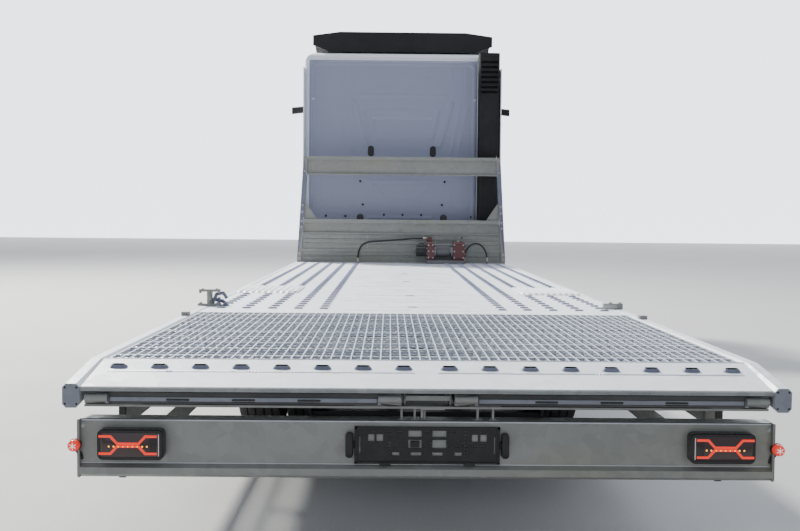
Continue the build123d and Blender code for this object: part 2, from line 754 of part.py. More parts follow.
# Engine as one plain block on lugs, gearbox and propeller shaft
engine_y = (cab_rear_y + 295, cab_front_y - 615)
with BuildPart() as engine_block:
    block((-330, 330), engine_y, (500, 1105))
    for y in (engine_y[0] + 140, engine_y[1] - 300):
        block((-frame_half_width, frame_half_width), (y, y + 90), (frame_top, frame_top + 25))
save(engine_block, "engine_block")

with BuildPart() as driveline:
    with BuildSketch(across(engine_y[0])):
        with Locations((0, 660)):
            RectangleRounded(420, 400, 90)
    extrude(amount=700, taper=4)
    shaft_end = Vector(0, rear_axle_y + 284, axle_z)
    shaft_start = Vector(0, engine_y[0] - 690, 640)
    shaft = shaft_end - shaft_start
    with BuildSketch(Plane(origin=shaft_start, z_dir=shaft)):
        Circle(50)
    extrude(amount=shaft.length)
save(driveline, "driveline")

# Wheels: steel disc rims with hubs, and tyres; a twin pair shares one hub
disc_gauge = 14
twin_disc_x = 897           # bolt face of the inner twin's disc
hand_hole_count = 10
hand_hole_radius = 25
hand_hole_ring = 228        # radius of the circle that the hand holes lie on


def barrel(centre_x):
    # Half section of a rim's barrel with its two flanges.
    half = rim_width / 2
    inner = centre_x - half
    outer = centre_x + half
    return [
        (inner, rim_radius + 16), (inner + 12, rim_radius + 16), (inner + 14, rim_radius),
        (outer - 14, rim_radius), (outer - 12, rim_radius + 16), (outer, rim_radius + 16),
        (outer, rim_radius - 12), (inner, rim_radius - 12),
    ]


def wheel_plane(side, axle_y):
    # Local x runs outward from the lorry's middle, local y is the height over the axle.
    return Plane(origin=(0, axle_y, axle_z), x_dir=(side, 0, 0), z_dir=(0, -side, 0))


def outward(axle_y):
    return Axis((0, axle_y, axle_z), (1, 0, 0))


def tyre_outline():
    # Half section of a tyre: tread, rounded shoulders, bulged walls and beads.
    half = tyre_width / 2
    tread = half - 20
    bead = rim_radius + fit_gap
    wall_z = (tyre_radius + rim_radius) / 2
    shoulder = tyre_radius - 22
    return bead, wall_z, shoulder, half, tread


twin_discs = [twin_disc_x, twin_disc_x + disc_gauge]
wheel_sets = [
    # name, side, axle, tyre centres, disc planes, hub from, hub to, hub bore radius
    ("front_left", -1, front_axle_y, [front_wheel_x], [1168], 985, 1190, stub_radius),
    ("front_right", 1, front_axle_y, [front_wheel_x], [1168], 985, 1190, stub_radius),
    ("rear_left", -1, rear_axle_y, [rear_outer_x - twin_spacing, rear_outer_x], twin_discs, 765, 1010, spindle_radius),
    ("rear_right", 1, rear_axle_y, [rear_outer_x - twin_spacing, rear_outer_x], twin_discs, 765, 1010, spindle_radius),
]
for name, side, wheel_y, centres, discs, hub_low, hub_high, bore in wheel_sets:
    with BuildPart() as rims:
        for centre_x, disc_x in zip(centres, discs):
            with BuildSketch(wheel_plane(side, wheel_y)):
                with BuildLine():
                    Polyline(*barrel(centre_x), close=True)
                make_face()
                # The disc cones from its bolt face to the barrel.
                edge_x = disc_x + (centre_x - disc_x) * 0.45
                with BuildLine():
                    Polyline(
                        (disc_x - disc_gauge / 2, 60), (disc_x + disc_gauge / 2, 60),
                        (disc_x + disc_gauge / 2, 175), (edge_x + disc_gauge / 2, rim_radius - 10),
                        (edge_x - disc_gauge / 2, rim_radius - 10), (disc_x - disc_gauge / 2, 175),
                        close=True,
                    )
                make_face()
            revolve(axis=outward(wheel_y))
            for index in range(hand_hole_count):
                angle = 2 * math.pi * index / hand_hole_count
                hole_place = (wheel_y + hand_hole_ring * math.cos(angle), axle_z + hand_hole_ring * math.sin(angle))
                rod(side * (disc_x + edge_x) / 2, *hole_place, hand_hole_radius, 150, mode=Mode.SUBTRACT)
        rod(side * (hub_low + hub_high) / 2, wheel_y, axle_z, 105, hub_high - hub_low)
        rod(side * (hub_low + hub_high) / 2, wheel_y, axle_z, 125, 0.6 * (hub_high - hub_low))
        bore_high = hub_high - 20
        rod(side * (hub_low - 10 + bore_high) / 2, wheel_y, axle_z, bore + running_gap,
            bore_high - hub_low + 10, mode=Mode.SUBTRACT)
    save(rims, f"rim_{name}")
    with BuildPart() as tyres:
        for centre_x in centres:
            flange = rim_radius + 18
            bead, wall_z, shoulder, half, tread = tyre_outline()
            with BuildSketch(wheel_plane(side, wheel_y)):
                with BuildLine():
                    Polyline((centre_x - 113, flange), (centre_x - 113, bead), (centre_x + 113, bead),
                             (centre_x + 113, flange))
                    ThreePointArc((centre_x + 113, flange), (centre_x + half, wall_z), (centre_x + half - 8, shoulder))
                    Line((centre_x + half - 8, shoulder), (centre_x + tread, tyre_radius))
                    Line((centre_x + tread, tyre_radius), (centre_x - tread, tyre_radius))
                    Line((centre_x - tread, tyre_radius), (centre_x - half + 8, shoulder))
                    ThreePointArc((centre_x - half + 8, shoulder), (centre_x - half, wall_z), (centre_x - 113, flange))
                make_face()
            revolve(axis=outward(wheel_y))
    save(tyres, f"tyre_{name}")

# Front bumper: a shell that wraps the corners, with lamps, an intake and brackets to the rails
bumper_half = 1245
bumper_z = (310, 715)
bumper_wall = 8
bumper_back_y = cab_front_y - 330
corner_radius = 330
headlamp_x = (800, 1130)
headlamp_z = (520, 650)
tow_x = 500
tow_z = 600
tow_radius = 16
tow_outer_radius = 28
tow_depth = 90
tow_socket_length = 124


def bumper_outline(inset):
    # Corners of the bumper in plan, open at the back.
    half = bumper_half - inset
    return (-half, bumper_back_y - 200), (half, bumper_back_y - 200), (half, front_y - inset), (-half, front_y - inset)


def bumper_solid(inset):
    with BuildPart() as solid:
        with BuildSketch(level(bumper_z[0])) as plan:
            with BuildLine():
                Polyline(*bumper_outline(inset), close=True)
            make_face()
            fillet(plan.vertices().group_by(Axis.Y)[-1], corner_radius - inset)
        extrude(amount=bumper_z[1] - bumper_z[0])
        block((-far, far), (bumper_back_y, far), (0, far), Mode.INTERSECT)
    return solid.part


with BuildPart() as front_bumper:
    add(bumper_solid(0))
    add(bumper_solid(bumper_wall), mode=Mode.SUBTRACT)
    both_sides(headlamp_x, (front_y - 600, far), headlamp_z, Mode.SUBTRACT)
    block((-650, 650), (front_y - 200, far), (370, 450), Mode.SUBTRACT)
    both_sides((frame_half_width - 8, frame_half_width), (frame_front_y, front_y - 4), (frame_bottom + 45, 705))
    for side in (-1, 1):
        rod(side * tow_x, front_y, tow_z, tow_outer_radius + 1, 60, "Y", Mode.SUBTRACT)
save(front_bumper, "front_bumper")

# Front beam on drop bars under the rails, with sockets for a towing eye that reach through the bumper
front_beam_y = (front_y - 190, front_y - tow_socket_length)
front_beam_z = (tow_z - 44, tow_z + 36)
drop_bar_x = (frame_half_width - frame_flange + 20, frame_half_width - 10)
with BuildPart() as front_beam:
    block((-620, 620), front_beam_y, front_beam_z)
    both_sides(drop_bar_x, (frame_front_y - 110, front_beam_y[0]), (front_beam_z[0], frame_bottom - fit_gap))
save(front_beam, "front_beam")

with BuildPart() as tow_sockets:
    seat_y = front_beam_y[1] + fit_gap
    for side in (-1, 1):
        rod(side * tow_x, (seat_y + front_y) / 2, tow_z, tow_outer_radius, front_y - seat_y, "Y")
        rod(side * tow_x, front_y - tow_depth / 2, tow_z, tow_radius, tow_depth, "Y", Mode.SUBTRACT)
save(tow_sockets, "tow_sockets")

with BuildPart() as headlamps:
    add(bumper_solid(2))
    add(bumper_solid(60), mode=Mode.SUBTRACT)
    lamp_window_x = (headlamp_x[0] + fit_gap, headlamp_x[1] - fit_gap)
    lamp_window_z = (headlamp_z[0] + fit_gap, headlamp_z[1] - fit_gap)
    with BuildPart(mode=Mode.PRIVATE) as lamp_window:
        both_sides(lamp_window_x, (front_y - 600, far), lamp_window_z)
    add(lamp_window.part, mode=Mode.INTERSECT)
save(headlamps, "headlamps")

# Cab: three prisms that cross give the outside, and the same ones moved in give the inside
roof_front_y = cab_front_y - 765
screen_top = (cab_front_y - 225, 2760)
screen_bottom = (cab_front_y - 15, 1750)
plan_corner = 350
rear_corner = 60
roof_corner = 150
roof_rear_corner = 90
brow_corner = 280


def cab_form(inset):
    half = cab_half - inset
    top = cab_top - inset
    low_y = cab_rear_y + inset
    high_y = cab_front_y - inset
    with BuildPart() as form:
        with BuildSketch(along(-cab_half)) as side_view:
            with BuildLine():
                Polyline(
                    (cab_rear_y, cab_front_bottom), (cab_rear_y, cab_top), (roof_front_y, cab_top),
                    screen_top, screen_bottom, (cab_front_y, cab_front_bottom), close=True,
                )
            make_face()
            if inset:
                offset(amount=-inset, kind=Kind.INTERSECTION)
            for corner_y, radius in ((roof_front_y, brow_corner), (cab_rear_y, roof_rear_corner)):
                corner = side_view.vertices().sort_by_distance((corner_y, cab_top, 0))[0]
                fillet(corner, radius - inset)
        extrude(amount=2 * cab_half)
        with BuildSketch(level(0)) as plan:
            with BuildLine():
                Polyline((-half, low_y), (half, low_y), (half, high_y), (-half, high_y), close=True)
            make_face()
            fillet(plan.vertices().group_by(Axis.Y)[-1], plan_corner - inset)
            fillet(plan.vertices().group_by(Axis.Y)[0], rear_corner - inset)
        extrude(amount=2 * cab_top, mode=Mode.INTERSECT)
        with BuildSketch(across(0)) as front_view:
            with BuildLine():
                Polyline((-half, 0), (half, 0), (half, top), (-half, top), close=True)
            make_face()
            fillet(front_view.vertices().group_by(Axis.Y)[-1], roof_corner - inset)
        extrude(amount=-2 * cab_front_y, mode=Mode.INTERSECT)
    return form.part


door_y = (cab_front_y - 1285, cab_front_y - 365)
door_z = (floor_z + floor_thickness + 10, 2640)
door_gap = 6
door_hinge_x = cab_half + 16
door_hinge_y = door_y[1] + 3
door_hinge_rows = (1330, 1760)
door_pin_radius = 8
door_sleeve_radius = 14
door_sleeve_length = 60
window_low = 1800
window_margin = 70


def door_prism(inset, low, lean):
    # The door's side outline, or its window's when more is taken off, as a prism across the cab.
    with BuildPart() as prism:
        with BuildSketch(along(-far)) as outline:
            with BuildLine():
                Polyline(
                    (door_y[0] + inset, low), (door_y[1] - inset, low), (door_y[1] - inset, window_low + 60),
                    (door_y[1] - inset - lean, door_z[1] - inset), (door_y[0] + inset, door_z[1] - inset),
                    close=True,
                )
            make_face()
            fillet(outline.vertices(), 40)
        extrude(amount=2 * far)
    return prism.part


def screen_prism(inset):
    # The windscreen's outline in the front view as a prism along the lorry.
    with BuildPart() as prism:
        with BuildSketch(across(cab_front_y - 715)) as outline:
            with BuildLine():
                Polyline(
                    (-1090 + inset, 1800 + inset), (1090 - inset, 1800 + inset),
                    (1040 - inset, 2660 - inset), (-1040 + inset, 2660 - inset), close=True,
                )
            make_face()
            fillet(outline.vertices(), 70)
        extrude(amount=-far)
    return prism.part


door_lean = 90
grille_x = 820
grille_z = (900, 1560)
cab_outside = cab_form(0)
cab_inside = cab_form(cab_wall)
door_opening = door_prism(0, door_z[0], door_lean)
door_leaf = door_prism(door_gap, door_z[0] + door_gap, door_lean)
door_window = door_prism(window_margin, window_low, door_lean)
door_pane = door_prism(window_margin + fit_gap, window_low + fit_gap, door_lean)
fin_depth = 180
rear_seam_z = 2986          # joint of the roof part with the wall
press_height = 8            # how far the pressings stand out of the rear wall
border_x = (90 - cab_half, cab_half - 295)      # the rim ends beside the intake column
border_z = (cab_sill_z + 60, cab_top - 110)
border_width = 35
rear_rib = [(575, 2940), (620, 2940), (478, 2440), (433, 2440)]
rear_slot = [(345, 2290), (415, 2290), (415, 2420), (345, 2420)]


def pressing(points, corner, height):
    # A field with round corners in the cab's rear wall: raised to a height, or cut down to it.
    raised = height > 0
    with BuildSketch(across(cab_rear_y if raised else cab_rear_y - press_height - 1)) as field:
        with BuildLine():
            Polyline(*points, close=True)
        make_face()
        fillet(field.vertices(), corner)
    if raised:
        extrude(field.sketch, amount=height)
    else:
        extrude(field.sketch, amount=height - press_height - 1, mode=Mode.SUBTRACT)


def mirrored(points):
    # A symmetrical outline from its right half, read from the top down.
    return points + [(-x, z) for x, z in reversed(points)]


def frame_corners(x, z, inset):
    return [(x[0] + inset, z[0] + inset), (x[1] - inset, z[0] + inset),
            (x[1] - inset, z[1] - inset), (x[0] + inset, z[1] - inset)]


with BuildPart() as cab_shell:
    add(cab_outside)
    add(cab_inside, mode=Mode.SUBTRACT)
    inside_x = (-cab_half + cab_wall - 5, cab_half - cab_wall + 5)
    inside_y = (cab_rear_y + cab_wall - 5, cab_front_y - cab_wall - 60)
    block(inside_x, inside_y, (floor_z, floor_z + floor_thickness))
    block((-far, far), (headboard_y, cab_front_y - 265), (0, cab_sill_z), Mode.SUBTRACT)
    add(screen_prism(0), mode=Mode.SUBTRACT)
    add(door_opening, mode=Mode.SUBTRACT)
    block((-grille_x, grille_x), (cab_front_y - 100, far), grille_z, Mode.SUBTRACT)
    for side in (-1, 1):
        rod(side * 1000, front_axle_y, axle_z, arch_radius, 760, mode=Mode.SUBTRACT)
        fin_x = sorted((side * (cab_half - 12), side * cab_half))
        block(fin_x, (cab_rear_y - fin_depth, cab_rear_y + 80), (1250, 3350))
        # Door hinge pins between two lugs
        for z in door_hinge_rows:
            rod(side * door_hinge_x, door_hinge_y, z, door_pin_radius, door_sleeve_length + 40, "Z")
            lug_x = sorted((side * (cab_half - 10), side * (door_hinge_x + door_pin_radius)))
            lug_y = (door_y[1], door_hinge_y + door_pin_radius)
            for end in (-1, 1):
                lug_z = z + end * (door_sleeve_length / 2 + 11)
                block(lug_x, lug_y, (lug_z - 9, lug_z + 9))
        # Hinge arms that hang from the cab's front edge
        arm_x_range = sorted((side * 370, side * 390))
        block(arm_x_range, (tilt_y - 28, cab_front_y - 4), (tilt_z - 28, cab_front_bottom + 30))
        rod(side * 380, tilt_y, tilt_z, hinge_pin_radius + running_gap, 40, mode=Mode.SUBTRACT)
    # Rear wall: rim, trapezoid field, two slanting ribs, hand slots and the roof seam
    pressing(frame_corners(border_x, border_z, 0), 120, press_height)
    pressing(frame_corners(border_x, border_z, border_width), 120 - border_width, 0)
    pressing(mirrored([(450, 2854), (380, 2510)]), 40, press_height)
    pressing(mirrored([(360, 2766), (345, 2560)]), 30, 0)
    for side in (-1, 1):
        pressing([(side * x, z) for x, z in rear_rib], 12, press_height)
        pressing([(side * x, z) for x, z in rear_slot], 30, -14)
    block(border_x, (cab_rear_y - far, cab_rear_y + 5), (rear_seam_z - 4, rear_seam_z + 4), Mode.SUBTRACT)
save(cab_shell, "cab_shell")

with BuildPart() as grille:
    grille_y = (cab_front_y - 45, cab_front_y - 12)
    grille_half = grille_x - fit_gap
    block((-grille_half, grille_half), grille_y, (grille_z[0] + fit_gap, grille_z[1] - fit_gap))
    slat_pitch = 82
    for index in range(7):
        slot_low = grille_z[0] + 45 + index * slat_pitch
        block((-grille_half + 40, grille_half - 40), (cab_front_y - 34, far),
              (slot_low, slot_low + 56), Mode.SUBTRACT)
save(grille, "cab_grille")

glass_outside = cab_form(12)
glass_inside = cab_form(18)
with BuildPart() as windscreen:
    add(screen_prism(fit_gap))
    add(glass_outside, mode=Mode.INTERSECT)
    add(glass_inside, mode=Mode.SUBTRACT)
save(windscreen, "windscreen")

for side, name in ((-1, "left"), (1, "right")):
    half_space = sorted((side * (cab_half - 300), side * far))
    with BuildPart() as door:
        add(door_leaf)
        block(half_space, (0, far), (0, far), Mode.INTERSECT)
        add(cab_outside, mode=Mode.INTERSECT)
        add(cab_inside, mode=Mode.SUBTRACT)
        add(door_window, mode=Mode.SUBTRACT)
        for z in door_hinge_rows:
            strap_x = sorted((side * (cab_half - 5), side * (cab_half + 12)))
            strap_z = (z - door_sleeve_length / 2 + 2, z + door_sleeve_length / 2 - 2)
            block(strap_x, (door_hinge_y - 55, door_y[1] - door_gap), strap_z)
            block(sorted((side * (cab_half + 3), side * (cab_half + 12))),
                  (door_hinge_y - 55, door_hinge_y), strap_z)
            rod(side * door_hinge_x, door_hinge_y, z, door_sleeve_radius, door_sleeve_length, "Z")
            rod(side * door_hinge_x, door_hinge_y, z, door_pin_radius + running_gap,
                door_sleeve_length + 10, "Z", Mode.SUBTRACT)
    save(door, f"door_{name}")
    with BuildPart() as pane:
        add(door_pane)
        block(half_space, (0, far), (0, far), Mode.INTERSECT)
        add(glass_outside, mode=Mode.INTERSECT)
        add(glass_inside, mode=Mode.SUBTRACT)
    save(pane, f"door_glass_{name}")

# Roof wing on two supports
wing_half = cab_half - 90
with BuildPart() as roof_spoiler:
    with BuildSketch(across(cab_rear_y + 150)):
        with BuildLine():
            Polyline(
                (190 - wing_half, cab_top + 34), (wing_half - 190, cab_top + 34), (wing_half, cab_top + 111),
                (wing_half, cab_top + 230), (wing_half - 330, cab_top + 276), (330 - wing_half, cab_top + 276),
                (-wing_half, cab_top + 230), (-wing_half, cab_top + 111), close=True,
            )
        make_face()
    extrude(amount=-700)
    # The top slopes down to the front and the underside is open.
    with BuildSketch(along(-cab_half)):
        with BuildLine():
            Polyline(
                (cab_rear_y + 100, cab_top + 276), (cab_rear_y + 250, cab_top + 276),
                (cab_rear_y + 860, cab_top + 84), (cab_rear_y + 860, cab_top + 344),
                (cab_rear_y + 100, cab_top + 344), close=True,
            )
        make_face()
    extrude(amount=2 * cab_half, mode=Mode.SUBTRACT)
    with BuildSketch(along(-cab_half)):
        with BuildLine():
            Polyline(
                (cab_rear_y + 180, cab_top - 56), (cab_rear_y + 180, cab_top + 244),
                (cab_rear_y + 250, cab_top + 244), (cab_rear_y + 780, cab_top + 74),
                (cab_rear_y + 780, cab_top - 56), close=True,
            )
        make_face()
    extrude(amount=2 * cab_half, mode=Mode.SUBTRACT)
    both_sides((370, 440), (cab_rear_y + 160, cab_rear_y + 500), (cab_top, cab_top + 184))
save(roof_spoiler, "roof_spoiler")

# Air intake column up the right rear corner of the cab
with BuildPart() as air_intake:
    with BuildSketch(level(1250)):
        with Locations((cab_half - 150, cab_rear_y - 100)):
            RectangleRounded(250, 200, 40)
    extrude(amount=cab_top - 20 - 1250)
    for index in range(7):
        z_low = cab_top - 506 + index * 60
        louvre_x = (cab_half - 250, cab_half - 50)
        block(louvre_x, (cab_rear_y - 230, cab_rear_y - 160), (z_low, z_low + 30), Mode.SUBTRACT)
save(air_intake, "air_intake")

# Mirror cameras: slim wings near the front of the cab roof
wing_tip_x = cab_half + 320
with BuildPart() as mirror_cams:
    for side in (-1, 1):
        with BuildSketch(Plane(origin=(side * cab_half, 0, 0), x_dir=(0, 1, 0), z_dir=(side, 0, 0))):
            with Locations((cab_front_y - 475, 3060 * side)):
                RectangleRounded(150, 80, 30)
        with BuildSketch(Plane(origin=(side * wing_tip_x, 0, 0), x_dir=(0, 1, 0), z_dir=(side, 0, 0))):
            with Locations((cab_front_y - 505, 3020 * side)):
                RectangleRounded(110, 90, 30)
        loft()
save(mirror_cams, "mirror_cams")

# Seats, dashboard with the steering wheel
seat_floor = floor_z + floor_thickness
seat_x = (cab_half - 840, cab_half - 340)
seat_y = (door_y[0] + 70, door_y[0] + 570)
back_y = seat_y[0] - 120
with BuildPart() as seats:
    for side in (-1, 1):
        x = sorted((side * seat_x[0], side * seat_x[1]))
        block((x[0] + 80, x[1] - 80), (seat_y[0] + 50, seat_y[1] - 100), (seat_floor, seat_floor + 260))
        block(x, seat_y, (seat_floor + 260, seat_floor + 400))
        block((x[0] + 30, x[1] - 30), (back_y, seat_y[0]), (seat_floor + 300, seat_floor + 1080))
    block((100 - cab_half, cab_half - 100), (cab_rear_y + 60, cab_rear_y + 700), (seat_floor, seat_floor + 560))
save(seats, "seats")

with BuildPart() as dashboard:
    dash_y = cab_front_y - 75
    with BuildSketch(along(80 - cab_half)):
        with BuildLine():
            Polyline(
                (dash_y, seat_floor), (dash_y, 1740), (dash_y - 240, 1760), (dash_y - 380, 1650),
                (dash_y - 320, 1400), (dash_y - 140, seat_floor), close=True,
            )
        make_face()
    extrude(amount=2 * (cab_half - 80))
    add(cab_form(cab_wall + 2), mode=Mode.INTERSECT)
    wheel_centre = Vector(-(seat_x[0] + seat_x[1]) / 2, dash_y - 480, 1700)
    column = Plane(origin=wheel_centre, x_dir=(1, 0, 0), z_dir=(0, -0.5, 0.85))
    with BuildSketch(column):
        Circle(225)
        Circle(200, mode=Mode.SUBTRACT)
        Rectangle(410, 40)
        Circle(50)
    extrude(amount=25)
    with BuildSketch(column):
        Circle(28)
    extrude(amount=-300)
save(dashboard, "dashboard")
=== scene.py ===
from math import cos, exp, hypot, pi, radians, sin, sqrt, tan, tau

import bmesh
import bpy
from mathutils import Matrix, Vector


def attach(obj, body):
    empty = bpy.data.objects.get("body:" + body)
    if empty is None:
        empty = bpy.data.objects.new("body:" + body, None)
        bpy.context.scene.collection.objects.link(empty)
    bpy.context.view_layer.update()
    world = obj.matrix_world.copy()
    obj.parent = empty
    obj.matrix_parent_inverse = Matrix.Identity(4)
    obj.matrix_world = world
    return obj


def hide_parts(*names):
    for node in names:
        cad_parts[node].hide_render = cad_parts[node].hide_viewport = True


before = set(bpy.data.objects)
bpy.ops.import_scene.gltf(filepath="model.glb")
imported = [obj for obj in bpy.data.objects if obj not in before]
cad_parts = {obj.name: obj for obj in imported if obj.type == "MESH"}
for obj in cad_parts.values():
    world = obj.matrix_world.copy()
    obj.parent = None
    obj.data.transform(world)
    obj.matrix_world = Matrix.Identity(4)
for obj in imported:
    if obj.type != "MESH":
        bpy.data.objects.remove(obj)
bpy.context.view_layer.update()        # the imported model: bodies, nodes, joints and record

# small mesh tools


def putInScene(name, data):
    thing = bpy.data.objects.new(name, data)
    bpy.context.scene.collection.objects.link(thing)
    return thing


def meshFrom(name, bm):
    mesh = bpy.data.meshes.new(name)
    bm.to_mesh(mesh)
    bm.free()
    return mesh


def makePiece(name, bm, body, material, bevel=0.0, segments=2, smoothAngle=35):
    # turns a bmesh into a finished piece that rides on a body
    bmesh.ops.recalc_face_normals(bm, faces=bm.faces)
    mesh = meshFrom(name, bm)
    piece = putInScene(name, mesh)
    for entry in material if isinstance(material, list) else [material]:
        mesh.materials.append(entry)
    for face in mesh.polygons:
        face.use_smooth = True
    mesh.set_sharp_from_angle(angle=radians(smoothAngle))
    if bevel:
        soft = piece.modifiers.new("softEdges", "BEVEL")
        soft.width = bevel
        soft.segments = segments
        soft.limit_method = "ANGLE"
        soft.angle_limit = radians(40)
        soft.harden_normals = True
    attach(piece, body)
    return piece


def addFaces(bm, points, faces, paint=0):
    corners = [bm.verts.new(point) for point in points]
    for face in faces:
        made = bm.faces.new([corners[index] for index in face])
        made.material_index = paint


def addBlock(bm, x, y, z, paint=0):
    # a rectangular member given by its low and high value on each axis
    points = [(x[i], y[j], z[k]) for i in (0, 1) for j in (0, 1) for k in (0, 1)]
    faces = [(0, 1, 3, 2), (4, 6, 7, 5), (0, 4, 5, 1), (2, 3, 7, 6), (0, 2, 6, 4), (1, 5, 7, 3)]
    addFaces(bm, points, faces, paint)


def addLoft(bm, rings, closed=True, caps=True, paint=0):
    # skins a list of rings of equal length; closed joins each ring's ends
    count = len(rings[0])
    points = [point for ring in rings for point in ring]
    faces = []
    for row in range(len(rings) - 1):
        for col in range(count if closed else count - 1):
            nextCol = (col + 1) % count
            faces.append((row * count + col, row * count + nextCol,
                          (row + 1) * count + nextCol, (row + 1) * count + col))
    if caps:
        faces.append(tuple(range(count)))
        faces.append(tuple(range((len(rings) - 1) * count, len(rings) * count)))
    addFaces(bm, points, faces, paint)


def addLayers(bm, axis, layers, caps=True, paint=0):
    # skins (depth, outline) layers along an axis: (Y, Z) pairs for X, (X, Z) for Y and (X, Y) for Z
    at = {"X": lambda depth, pair: (depth, *pair), "Y": lambda depth, pair: (pair[0], depth, pair[1]),
          "Z": lambda depth, pair: (*pair, depth)}[axis]
    addLoft(bm, [[at(depth, pair) for pair in outline] for depth, outline in layers], caps=caps, paint=paint)


def addPrism(bm, outline, low, high, axis="X", paint=0):
    addLayers(bm, axis, [(low, outline), (high, outline)], paint=paint)


def addRod(bm, start, end, radius, sides=16, endRadius=None, paint=0):
    # a round or many-sided member between two points
    start, end = Vector(start), Vector(end)
    turn = (end - start).to_track_quat("Z", "Y")
    rings = []
    for centre, size in ((start, radius), (end, radius if endRadius is None else endRadius)):
        rings.append([centre + turn @ Vector((size * cos(tau * step / sides),
                                              size * sin(tau * step / sides), 0))
                      for step in range(sides)])
    addLoft(bm, rings, paint=paint)


def addLathe(bm, profile, centre, side=1, sides=48, paint=0, ripple=None):
    # turns (outward, radius) pairs about the axle line through centre
    rings = []
    for step in range(sides):
        angle = tau * step / sides
        ring = []
        for index, (out, radius) in enumerate(profile):
            size = radius - (ripple(index, step) if ripple else 0)
            ring.append((centre[0] + side * out, centre[1] + size * cos(angle),
                         centre[2] + size * sin(angle)))
        rings.append(ring)
    rings.append(rings[0])
    addLoft(bm, rings, closed=True, caps=False, paint=paint)
    bmesh.ops.remove_doubles(bm, verts=bm.verts, dist=0.00002)


def addTurned(bm, profile, centre, way=1, sides=28, paint=0):
    # turns (lengthwise, radius) pairs about a line along Y through centre
    x, y, z = centre
    rings = []
    for step in range(sides + 1):
        angle = tau * step / sides
        rings.append([(x + size * cos(angle), y + way * out, z + size * sin(angle)) for out, size in profile])
    addLoft(bm, rings, closed=False, caps=False, paint=paint)


def roundedBox(width, height, radius, steps=5):
    # outline of a rectangle with round corners, centred on zero
    points = []
    for cornerX, cornerY, start in ((1, 1, 0), (-1, 1, 90), (-1, -1, 180), (1, -1, 270)):
        for step in range(steps + 1):
            angle = radians(start + 90 * step / steps)
            points.append((cornerX * (width / 2 - radius) + radius * cos(angle),
                           cornerY * (height / 2 - radius) + radius * sin(angle)))
    return points


def shifted(outline, across, up):
    return [(first + across, second + up) for first, second in outline]


def addBolt(bm, place, axis, radius=0.009, height=0.007, paint=0):
    # a washer with a hexagon head that stands out along the axis
    place, axis = Vector(place), Vector(axis)
    addRod(bm, place, place + axis * height * 0.3, radius * 1.55, 18, paint=paint)
    addRod(bm, place + axis * height * 0.3, place + axis * height, radius, 6, paint=paint)


# materials


def nodeTools(name):
    material = bpy.data.materials.new(name)
    material.use_nodes = True
    tree = material.node_tree
    shader = tree.nodes["Principled BSDF"]
    coords = tree.nodes.new("ShaderNodeTexCoord")
    return material, tree, shader, coords.outputs["Object"]


def stretched(tree, source, scale):
    mapping = tree.nodes.new("ShaderNodeMapping")
    mapping.inputs["Scale"].default_value = scale
    tree.links.new(source, mapping.inputs["Vector"])
    return mapping.outputs["Vector"]


def noiseOf(tree, source, scale, detail=4.0, rough=0.55):
    noise = tree.nodes.new("ShaderNodeTexNoise")
    noise.inputs["Scale"].default_value = scale
    noise.inputs["Detail"].default_value = detail
    noise.inputs["Roughness"].default_value = rough
    tree.links.new(source, noise.inputs["Vector"])
    return noise.outputs["Fac"]


def spreadOf(tree, value, low, high, fromLow=0.3, fromHigh=0.7):
    spread = tree.nodes.new("ShaderNodeMapRange")
    spread.inputs["From Min"].default_value = fromLow
    spread.inputs["From Max"].default_value = fromHigh
    spread.inputs["To Min"].default_value = low
    spread.inputs["To Max"].default_value = high
    tree.links.new(value, spread.inputs["Value"])
    return spread.outputs["Result"]


def blendOf(tree, share, first, second, mode="MIX"):
    mix = tree.nodes.new("ShaderNodeMix")
    mix.data_type = "RGBA"
    mix.blend_type = mode
    for socket, value in ((mix.inputs[0], share), (mix.inputs[6], first), (mix.inputs[7], second)):
        if isinstance(value, bpy.types.NodeSocket):
            tree.links.new(value, socket)
        elif isinstance(value, float):
            socket.default_value = value
        else:
            socket.default_value = (*value, 1)
    return mix.outputs[2]


def bumpOf(tree, shader, height, strength, distance=0.002):
    bump = tree.nodes.new("ShaderNodeBump")
    bump.inputs["Strength"].default_value = strength
    bump.inputs["Distance"].default_value = distance
    tree.links.new(height, bump.inputs["Height"])
    tree.links.new(bump.outputs["Normal"], shader.inputs["Normal"])


def surface(name, colour, dirt=None, rough=(0.35, 0.5), metal=0.0, patch=3.0, grain=300.0, bump=0.08,
            coat=0.0, sheen=0.0, stretch=(1, 1, 1), dirtShare=0.35):
    # one finish: slow patches towards the dirt colour, uneven gloss and a fine grain
    material, tree, shader, coords = nodeTools(name)
    coords = stretched(tree, coords, stretch)
    dirt = dirt or tuple(0.72 * part for part in colour)
    slow = noiseOf(tree, coords, patch, 6.0, 0.65)
    fine = noiseOf(tree, coords, grain, 3.0, 0.6)
    share = spreadOf(tree, slow, 0.0, dirtShare, 0.42, 0.72)
    tinted = blendOf(tree, share, colour, dirt)
    grainShade = spreadOf(tree, fine, 0.94, 1.06)
    combine = tree.nodes.new("ShaderNodeCombineColor")
    for channel in ("Red", "Green", "Blue"):
        tree.links.new(grainShade, combine.inputs[channel])
    tree.links.new(blendOf(tree, 1.0, tinted, combine.outputs["Color"], "MULTIPLY"), shader.inputs["Base Color"])
    tree.links.new(spreadOf(tree, slow, rough[1], rough[0]), shader.inputs["Roughness"])
    bumpOf(tree, shader, fine, bump)
    shader.inputs["Metallic"].default_value = metal
    shader.inputs["Coat Weight"].default_value = coat
    shader.inputs["Coat Roughness"].default_value = 0.12
    shader.inputs["Sheen Weight"].default_value = sheen
    return material


